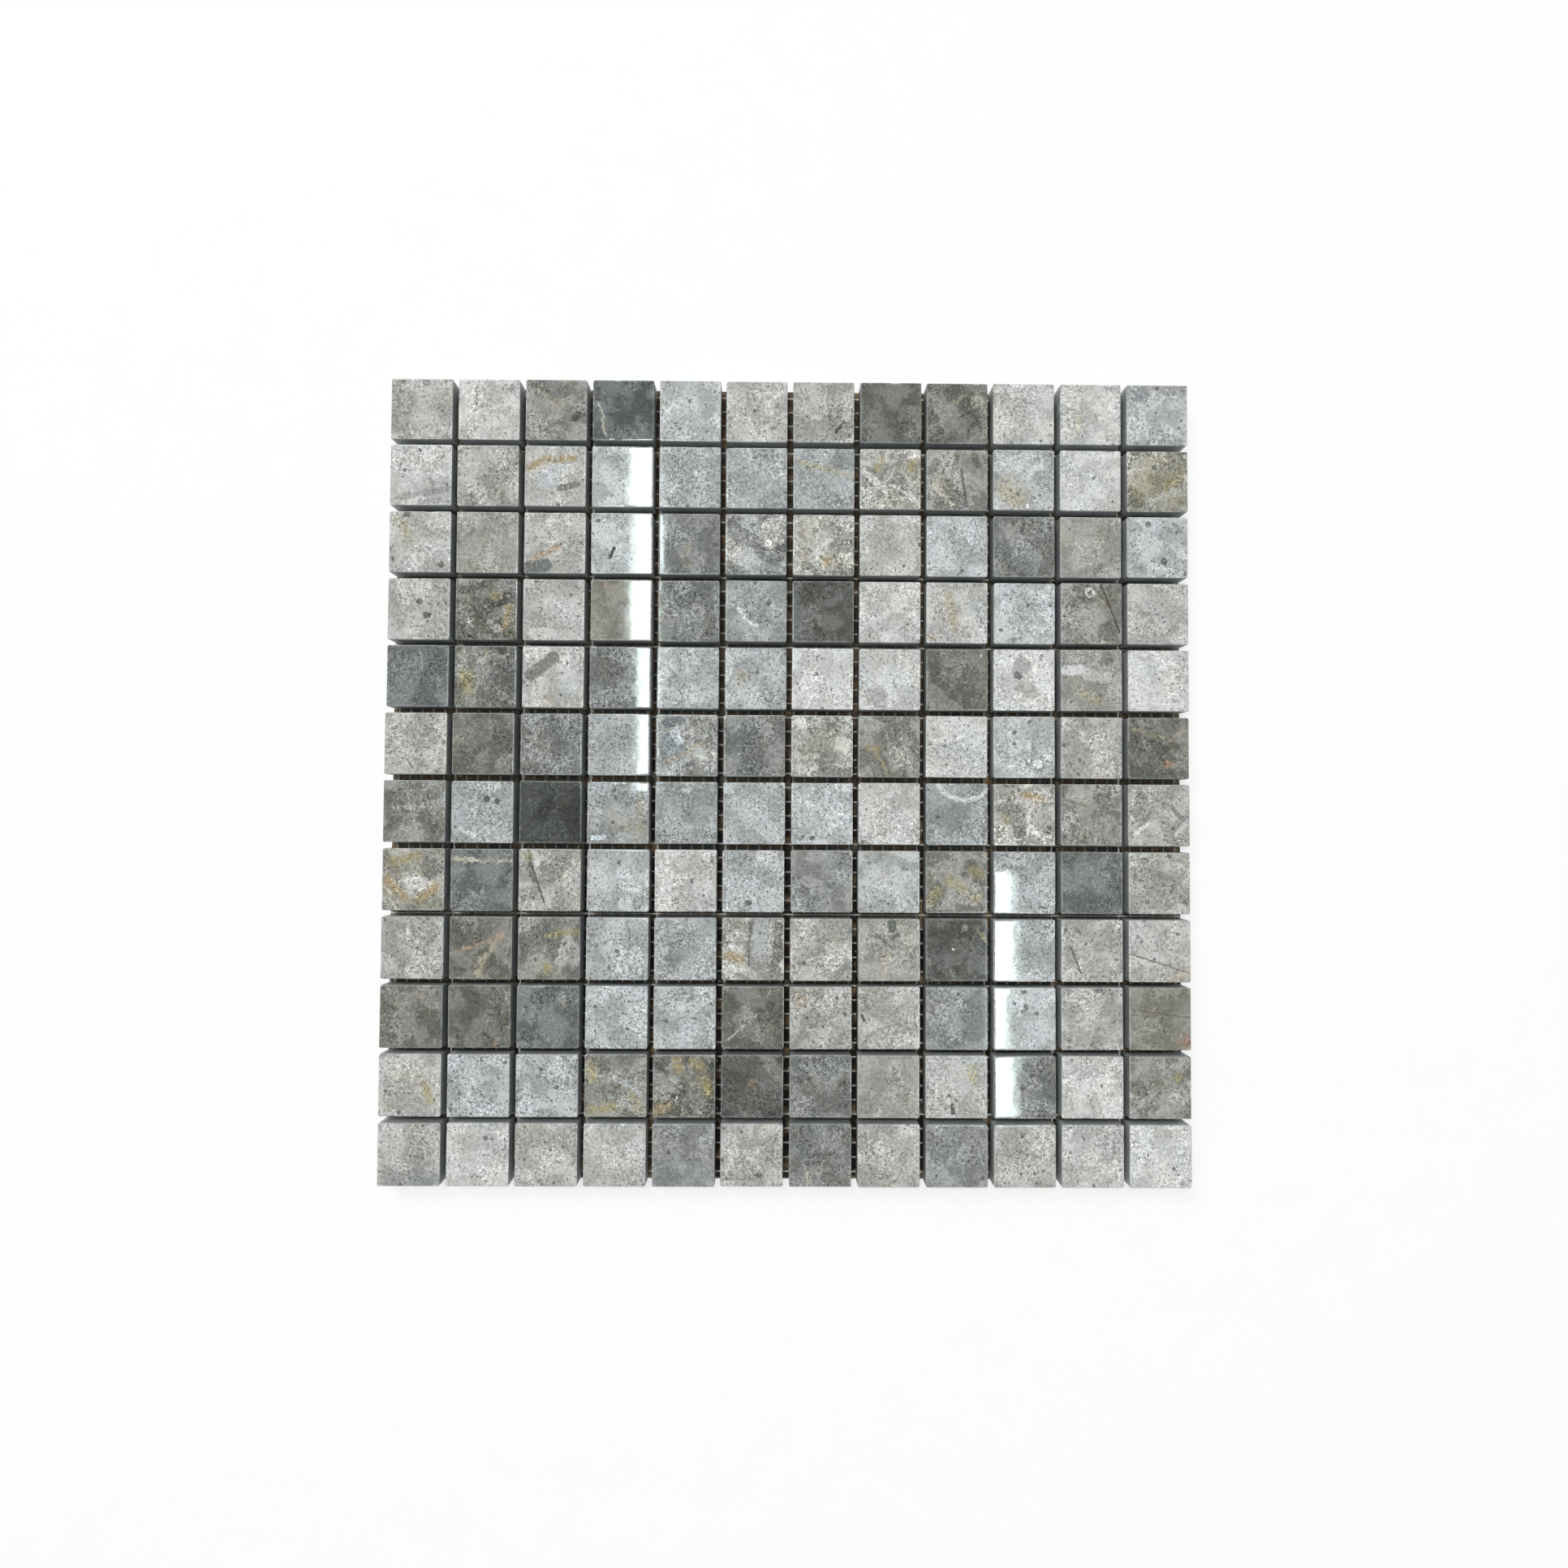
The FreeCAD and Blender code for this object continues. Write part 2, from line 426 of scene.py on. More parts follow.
def ring_of(half, corner, inset, height, nicks, weight):
    """One level round a chip: its outline, drawn in by inset, bitten where it is nicked."""
    radius = max(corner - inset, SHARPEST_CORNER)
    reach = half - inset - radius
    ring = []
    for quarter in range(4):
        start = math.pi / 2 * quarter
        centre = Vector((math.cos(start + math.pi / 4), math.sin(start + math.pi / 4), 0))
        centre *= reach * math.sqrt(2)
        for step in range(CORNER_STEPS):
            turn = start + math.pi / 2 * step / (CORNER_STEPS - 1)
            ring.append(centre + Vector((math.cos(turn), math.sin(turn), 0)) * radius)
        end = ring[-1]
        next_centre = Vector((-centre.y, centre.x, 0))
        goal = next_centre + Vector((math.cos(start + math.pi / 2),
                                     math.sin(start + math.pi / 2), 0)) * radius
        for step in range(1, SIDE_STEPS + 1):
            ring.append(end.lerp(goal, step / (SIDE_STEPS + 1)))
    for index, point in enumerate(ring):
        bite = 0.0
        for middle, reach_along, depth in nicks:
            apart = abs((index - middle + RING_POINTS / 2) % RING_POINTS - RING_POINTS / 2)
            if apart < reach_along:
                bite = max(bite, depth * math.cos(math.pi / 2 * apart / reach_along))
        point -= point.normalized() * bite * weight
        point.z = height - bite * weight * NICK_DROP
    return ring


def chip(rng):
    """A chip's points, faces, and for each point how polished and how worn it is. The wear
    also gives the arris its painted highlight.
    """
    half = CHIP_SIDE / 2 - rng.uniform(0.0, LARGEST_LOSS)
    corner = rng.uniform(SHARP_CORNER, ROUND_CORNER)
    nicks = [(rng.uniform(0, RING_POINTS), rng.uniform(SHORT_NICK, LONG_NICK),
              rng.uniform(SHALLOW_NICK, DEEP_NICK))
             for _ in range(rng.choice(NICKS))]
    # Each level's inset, its height, how much of a nick it has, its polish and its wear, which
    # also sets its painted highlight.
    levels = [(FOOT_INSET, 0.0, 0.0, 0.0, 0.0),
              (0.0, FOOT_BEVEL, 0.0, 0.0, 0.0),
              (0.0, CHIP_DEPTH / 2, 0.0, 0.0, 0.0),
              (0.0, CHIP_DEPTH - 2.2 * ARRIS, 0.0, 0.0, 0.0),
              (0.0, CHIP_DEPTH - ARRIS, 0.5, 0.0, 0.6)]
    for turn in (30, 60, 90):
        levels.append((ARRIS * (1 - math.cos(math.radians(turn))),
                       CHIP_DEPTH - ARRIS * (1 - math.sin(math.radians(turn))),
                       1.0, turn / 90, 1.0))
    levels.append((ARRIS + FACE_INSET, CHIP_DEPTH, 0.0, 1.0, 0.0))
    points, polish, wear = [], [], []
    for inset, height, bite, polished, worn_and_highlit in levels:
        points.extend(ring_of(half, corner, inset, height, nicks, bite))
        polish.extend([polished] * RING_POINTS)
        wear.extend([worn_and_highlit] * RING_POINTS)
    faces = [tuple(reversed(range(RING_POINTS)))]
    for level in range(len(levels) - 1):
        for index in range(RING_POINTS):
            here = level * RING_POINTS + index
            there = level * RING_POINTS + (index + 1) % RING_POINTS
            faces.append((here, there, there + RING_POINTS, here + RING_POINTS))
    faces.append(tuple(range(len(points) - RING_POINTS, len(points))))
    return points, faces, polish, wear


# The stones, named by what they look like: the tone on a scale to 255, how much warmer it
# is in red than in blue, how far apart its lightest and darkest clouds are, then the
# shares of dark specks, pale shell hash and cracks, of pebbles, ochre stain and mottling.
# The last entry says where that stone was laid, as row-column.
STONES = {
    "frost": (208, 0, 26, (0.5, 0.8, 0.5), (0.12, 0.04, 0.9),
              "2-11 5-12 5-7 11-11 6-9 5-10 12-12 5-8"),
    "milk": (197, 2, 32, (0.5, 0.8, 0.4), (0.15, 0.05, 1.0),
             "4-8 8-5 1-11 7-8 4-9 12-11 12-2 1-2 2-1 5-3 1-10"),
    "hoar": (192, -5, 34, (0.65, 0.8, 0.4), (0.12, 0.02, 0.9),
             "2-4 10-10 4-10 8-4 3-4 3-12 1-5 3-9 7-7 6-10"),
    "dove": (188, 3, 28, (0.6, 0.75, 0.4), (0.15, 0.06, 0.95),
             "1-6 3-1 12-4 4-12 11-1 9-12 4-1 3-8 2-3 4-3 11-9"),
    "pearl": (183, -5, 33, (0.85, 0.8, 0.35), (0.12, 0.03, 1.12),
              "5-5 8-6 8-10 7-6 11-3 11-2 9-4 5-6 10-4 9-10 10-5 2-5"),
    "moon": (187, -3, 36, (0.6, 0.7, 0.4), (0.15, 0.03, 0.9),
             "1-12 2-10 8-8"),
    "linen": (183, 4, 34, (0.6, 0.65, 0.4), (0.2, 0.06, 1.12),
              "10-11 1-1 12-3 3-3 9-11 6-1 12-10 12-8 12-6 6-11 10-8 12-1"),
    "drizzle": (168, -5, 24, (0.6, 0.8, 0.25), (0.12, 0.02, 1.2),
                "6-4 2-6 9-5 7-2 2-7"),
    "sand": (174, 5, 36, (0.75, 0.65, 0.45), (0.3, 0.08, 1.18),
             "9-7 7-12 1-7 8-3 2-2 10-7 9-1 8-12"),
    "fawn": (161, 6, 26, (0.3, 0.6, 0.25), (0.15, 0.05, 1.0),
             "3-11 3-2 11-8 9-8 5-11"),
    "pudding": (176, 6, 40, (0.6, 0.8, 0.4), (0.95, 0.14, 1.5),
                "6-7 3-7 9-6 2-8 7-10"),
    "rubble": (152, 0, 44, (0.6, 0.8, 0.3), (0.9, 0.03, 1.5),
               "3-6 6-5"),
    "ash": (159, -5, 30, (0.4, 0.7, 0.25), (0.15, 0.02, 1.3),
            "7-5 7-9 7-4 4-6"),
    "steel": (149, -1, 32, (0.4, 0.5, 0.2), (0.1, 0.0, 1.4),
              "12-9 10-9 8-7 12-5"),
    "olive": (142, 4, 46, (0.3, 0.6, 0.3), (0.4, 0.15, 1.4),
              "7-11 6-8 4-11 11-12 1-3 9-3 7-1 11-4 2-9 8-9"),
    "mole": (134, 10, 28, (0.2, 0.3, 0.2), (0.1, 0.05, 1.3),
             "4-4 10-12"),
    "honey": (157, 8, 52, (0.4, 0.6, 0.3), (0.5, 0.3, 1.75),
              "2-12 8-1"),
    "bramble": (119, 4, 54, (0.3, 0.7, 0.3), (0.75, 0.15, 1.95),
                "11-5 4-2 5-2"),
    "lead": (132, 0, 34, (0.3, 0.5, 0.2), (0.12, 0.0, 1.9),
             "12-7 3-10 6-6 4-5 11-7 11-10 5-4 3-5 6-3"),
    "umber": (117, 6, 40, (0.2, 0.5, 0.3), (0.25, 0.04, 1.4),
              "1-9 10-1 5-9 9-2 6-12 10-6 6-2"),
    "slate": (120, -3, 30, (0.2, 0.5, 0.15), (0.08, 0.0, 1.4),
              "5-1 8-11 8-2 10-3"),
    "ink": (106, -6, 36, (0.15, 0.3, 0.15), (0.1, 0.0, 1.5),
            "1-4"),
    "peat": (109, 4, 34, (0.15, 0.4, 0.15), (0.15, 0.02, 1.4),
             "1-8 10-2"),
    "charcoal": (98, 2, 34, (0.1, 0.35, 0.1), (0.1, 0.0, 1.4),
                 "4-7 9-9 11-6"),
    "jet": (67, 0, 24, (0.1, 0.3, 0.1), (0.05, 0.0, 1.3),
            "7-3"),
}
MOST_MARKS = 4
DARK_RIM, LIMY_RIM = linear(92, 92, 86), linear(214, 214, 208)
SOAKED_OCHRE = linear(158, 148, 96)
COLDER, WARMER = (0.99, 1.0, 1.012, 1.0), (1.01, 1.003, 0.985, 1.0)
PIT_GREY, FLECK_WHITE = linear(88, 90, 89), linear(226, 227, 224)
CRACK_GREY, SPAR_WHITE = linear(104, 102, 96), linear(206, 205, 198)
SAWN_GREY, FOOT_PAINTED_LIGHT, WORN_AND_HIGHLIGHT_GREY = linear(160, 166, 169), linear(214, 218, 219), linear(186, 188, 185)

polished_stone, shader, wire = finish("polished_grey_limestone", IOR=1.56)


def painted(name, out):
    """What the chips below carry at each of their points under this name."""
    return wire.node("ShaderNodeAttribute", {"attribute_name": name}, {}, out)


def level_noise(place, scale, detail, out="Fac", roughness=0.5):
    return place.noise(scale, detail, out, roughness, noise_dimensions="2D")


def all_three(value):
    return (value, value, value)


def wobble(cloud, reach):
    """A shift to any side, up to about reach, from a cloud's colour."""
    return cloud.vector("SUBTRACT", all_three(0.5)).vector("MULTIPLY", all_three(reach))


def hairline(value, level, width):
    """The thin winding line along which a cloud passes a level."""
    return (value - level).math("ABSOLUTE").step(0.0, width, 1.0, 0.0)


def clasts(where, scale, most, least, share):
    """Rounded fragments: how far inside one a point is, in cells, and the cell's colour."""
    cell = where.node("ShaderNodeTexVoronoi", {"voronoi_dimensions": "2D"},
                      {"Vector": where, "Scale": scale}, "Color")
    there = (share - cell.part(2)).step(0.0, 0.02)
    return cell.part(0) * most + least - cell.beside("Distance"), there, cell


# What the stones are given above, and where on its stone each point was cut.
place = painted("stone_place", "Vector")
grit, habit = painted("grit", "Vector"), painted("habit", "Vector")
specks, shell_hash, cracks = [grit.part(axis) for axis in range(3)]
pebbles, ochre, mottling = [habit.part(axis) for axis in range(3)]
polish, wear = painted("polish", "Fac"), painted("wear", "Fac")

bent = place.vector("ADD", wobble(level_noise(place, 0.15, 2.0, "Color"), 9.0))
fray = level_noise(place, 0.6, 3.0, "Color")
ragged = wobble(fray, 2.4)
wander = level_noise(bent, 0.07, 4.0, "Color")
grain = level_noise(place, 1.3, 2.0, roughness=0.7)

zones = level_noise(bent, 0.10, 3.5).step(0.38, 0.62)
colour = painted("ground", "Color").tinted(painted("cloud", "Color"), zones)

# Fragments: rounded pieces of older stone, each in a tone of its own and each with a thin
# outline, dark or limy. Every stone has a few, and pudding stone is full of them.
calm = 0.0
contrast = pebbles * 0.55 + 0.4
torn = bent.vector("ADD", ragged.vector("MULTIPLY", all_three(1.5)))
for scale, share in ((0.13, pebbles), (0.38, pebbles * 0.6 + 0.14)):
    depth, there, cell = clasts(torn, scale, 0.42, 0.14, share)
    inside = depth.step(0.0, 0.04) * there
    calm = inside * 0.4 + calm
    colour = colour.tinted((cell.part(1) - 0.5) * contrast + 0.97, inside, "MULTIPLY")
    rim = hairline(depth, -0.03, 0.06) * there * contrast
    limy = cell.part(1).step(0.5, 0.6)
    colour = colour.tinted(DARK_RIM, rim * (1.0 - limy) * 0.75)
    colour = colour.tinted(LIMY_RIM, rim * limy * 0.55)

# Stain: ochre that has soaked in here and there, and a drift from a cold grey to a warm one.
soaked = level_noise(bent, 0.16, 2.0).step(0.45, 0.7) * fray.part(1).step(0.35, 0.62)
colour = colour.tinted(SOAKED_OCHRE, soaked * ochre)
cold = wander.part(2).step(0.4, 0.6)
colour = colour.tinted(COLDER, cold, "MULTIPLY").tinted(WARMER, 1.0 - cold, "MULTIPLY")

# Marks: the veins, stains, shells and dark lumps that single chips have. A stain is soft,
# ragged and patchy, a shell a little ragged, and the rest have a plain edge.
on_chip = painted("on_chip", "Vector")
patches = fray.part(0).step(0.38, 0.54, 0.6, 0.0)
for number in range(1, MOST_MARKS + 1):
    start = painted(f"mark{number}_start", "Vector")
    stain = start.part(2)
    start = start.vector("MULTIPLY", (1.0, 1.0, 0.0))
    along = painted(f"mark{number}_end", "Vector").vector("SUBTRACT", start)
    shape = painted(f"mark{number}_shape", "Vector")
    ring_radius, half_width, strength = [shape.part(axis) for axis in range(3)]
    frayed = ragged.vector("MULTIPLY", stain * 0.75 + half_width * 0.3 + 0.2)
    gone = on_chip.vector("ADD", frayed).vector("SUBTRACT", start)
    gone = gone.vector("MULTIPLY", (1.0, 1.0, 0.0))
    share = gone.vector("DOT_PRODUCT", along, out="Value").math(
        "DIVIDE", along.vector("DOT_PRODUCT", along, out="Value") + 0.01)
    share = share.math("MAXIMUM", 0.0).math("MINIMUM", 1.0)
    away = gone.vector("SUBTRACT", along.vector("MULTIPLY", share))
    away = (away.vector("LENGTH", out="Value") - ring_radius).math("ABSOLUTE")
    mark = away.step(half_width * (0.8 - stain * 0.5),
                     half_width * (1.1 + stain * 0.6) + 0.15 + stain * 0.2, 1.0, 0.0)
    colour = colour.tinted(painted(f"mark{number}_tint", "Color"),
                           mark * strength * (1.0 - stain * patches))

# Grain: a salt-and-pepper hash of broken shell, with winding pale curls and dark pits. It
# is dense in some parts and nearly smooth in others, and faint inside a fragment.
dense = wander.part(0).step(0.42, 0.58, 0.45, 1.35) * mottling * (1.0 - calm)
loose = place.vector("ADD", ragged.vector("MULTIPLY", all_three(0.5)))
curls = level_noise(loose, 1.0, 1.0, "Color")
lace = level_noise(loose, 0.38, 2.0, "Color")
laced = fray.part(1).step(0.42, 0.55) * (pebbles * 0.9 + 0.25) * 0.9
light = (hairline(curls.part(0), 0.5, 0.05) + hairline(curls.part(1), 0.5, 0.05)
         + (hairline(lace.part(0), 0.5, 0.045) + hairline(lace.part(1), 0.5, 0.04)) * laced)
shade = (hairline(curls.part(0), 0.57, 0.05) + hairline(curls.part(1), 0.43, 0.05)
         + (hairline(lace.part(0), 0.56, 0.05) + hairline(lace.part(1), 0.45, 0.05)) * laced)
mottle = (grain - 0.5) * 1.4 + (light - shade) * 0.4 * shell_hash + (fray.part(2) - 0.5) * 0.95
mottle = (mottle * dense + 1.0).math("MAXIMUM", 0.3)
colour = colour.tinted(mottle, 1.0, "MULTIPLY")

pits = curls.part(2).step(0.66, 0.69) * specks
pitted = wander.part(1).step(0.4, 0.6, 0.3, 1.5) * specks
for scale, most, least, share in ((1.1, 0.4, 0.12, pitted * 0.12),
                                  (0.36, 0.25, 0.08, specks * 0.12)):
    depth, there, cell = clasts(loose, scale, most, least, share)
    pits = pits + depth.step(0.0, 0.08) * there
colour = colour.tinted(PIT_GREY, pits.math("MINIMUM", 1.0) * 0.8)
flecks = curls.part(2).step(0.34, 0.30) * shell_hash * shell_hash
colour = colour.tinted(FLECK_WHITE, flecks * 0.6)

# Cracks: long wandering hairlines, some open and dark, some healed with pale spar.
fault = hairline(wander.part(0), 0.5, 0.006)
colour = colour.tinted(CRACK_GREY, fault * cracks * 0.9)
spar = hairline(wander.part(1), 0.53, 0.007) * fray.part(0).step(0.4, 0.6)
colour = colour.tinted(SPAR_WHITE, spar * cracks)

# Surface: the polished face shows the stone itself, and the sawn sides a dull even grey with
# painted light that pales them towards the foot, deep in the shaded joints. The worn arris is
# a little whiter than the face, partly from wear and partly as a painted highlight.
FOOT_FADE = 8.5 * MM
# Painted light: the sawn sides are made paler towards the foot, so the deep, shaded part of each joint
# looks more lit.
foot = wire.node("ShaderNodeTexCoord", out="Object").part(2).step(0.0, FOOT_FADE, 1.0, 0.0)
sawn = colour.tinted(SAWN_GREY, 0.65).tinted(FOOT_PAINTED_LIGHT, foot * 0.4)
surface = sawn.tinted(colour, polish)
# Wear and painted highlight: the arris is whitened, partly as real wear and partly as a painted highlight
# where the edge catches the light.
surface = surface.tinted(WORN_AND_HIGHLIGHT_GREY, wear * fray.part(1).step(0.35, 0.65, 0.05, 0.3))
ripple = level_noise(place, 0.22, 1.0)
relief = ripple * 0.6 + grain * (0.6 - polish * 0.54)
lay(shader,
    Base_Color=surface,
    Roughness=(1.0 - polish) * 0.5 + wear * 0.15 + 0.035,
    Normal=relief.bump(strength=1.0, distance=0.01 * MM))


WHITE, SKY, CREAM, SAND = (216, 217, 213), (190, 197, 202), (190, 185, 170), (176, 167, 148)
OCHRE, GOLD, RUST, BROWN = (156, 149, 119), (164, 145, 108), (160, 128, 106), (98, 90, 74)
SMOKE, SOOT, INK = (130, 133, 133), (94, 97, 95), (68, 70, 68)
YOLK, CHALK = (163, 152, 108), (242, 243, 241)
HAIRLINE = 0.35
STAIN_WARMTH = 12
SHELL_STAIN = 0.35


def streak(start, end, half_width, tint, strength=0.85):
    """A vein or smear between two points of a chip. A warm one that is wider than a
    hairline is a stain."""
    stain = 1.0 if tint[0] - tint[2] > STAIN_WARMTH and half_width > HAIRLINE else 0.0
    return (*start, stain), (*end, 0.0), (0.0, half_width, strength), linear(*tint)


def spot(x, y, radius, tint, strength=0.75):
    return streak((x, y), (x, y), radius, tint, strength)


def shell(x, y, radius, half_width, tint, strength=0.8):
    """A fossil shell cut through: a ring."""
    return (x, y, SHELL_STAIN), (x, y, 0.0), (radius, half_width, strength), linear(*tint)


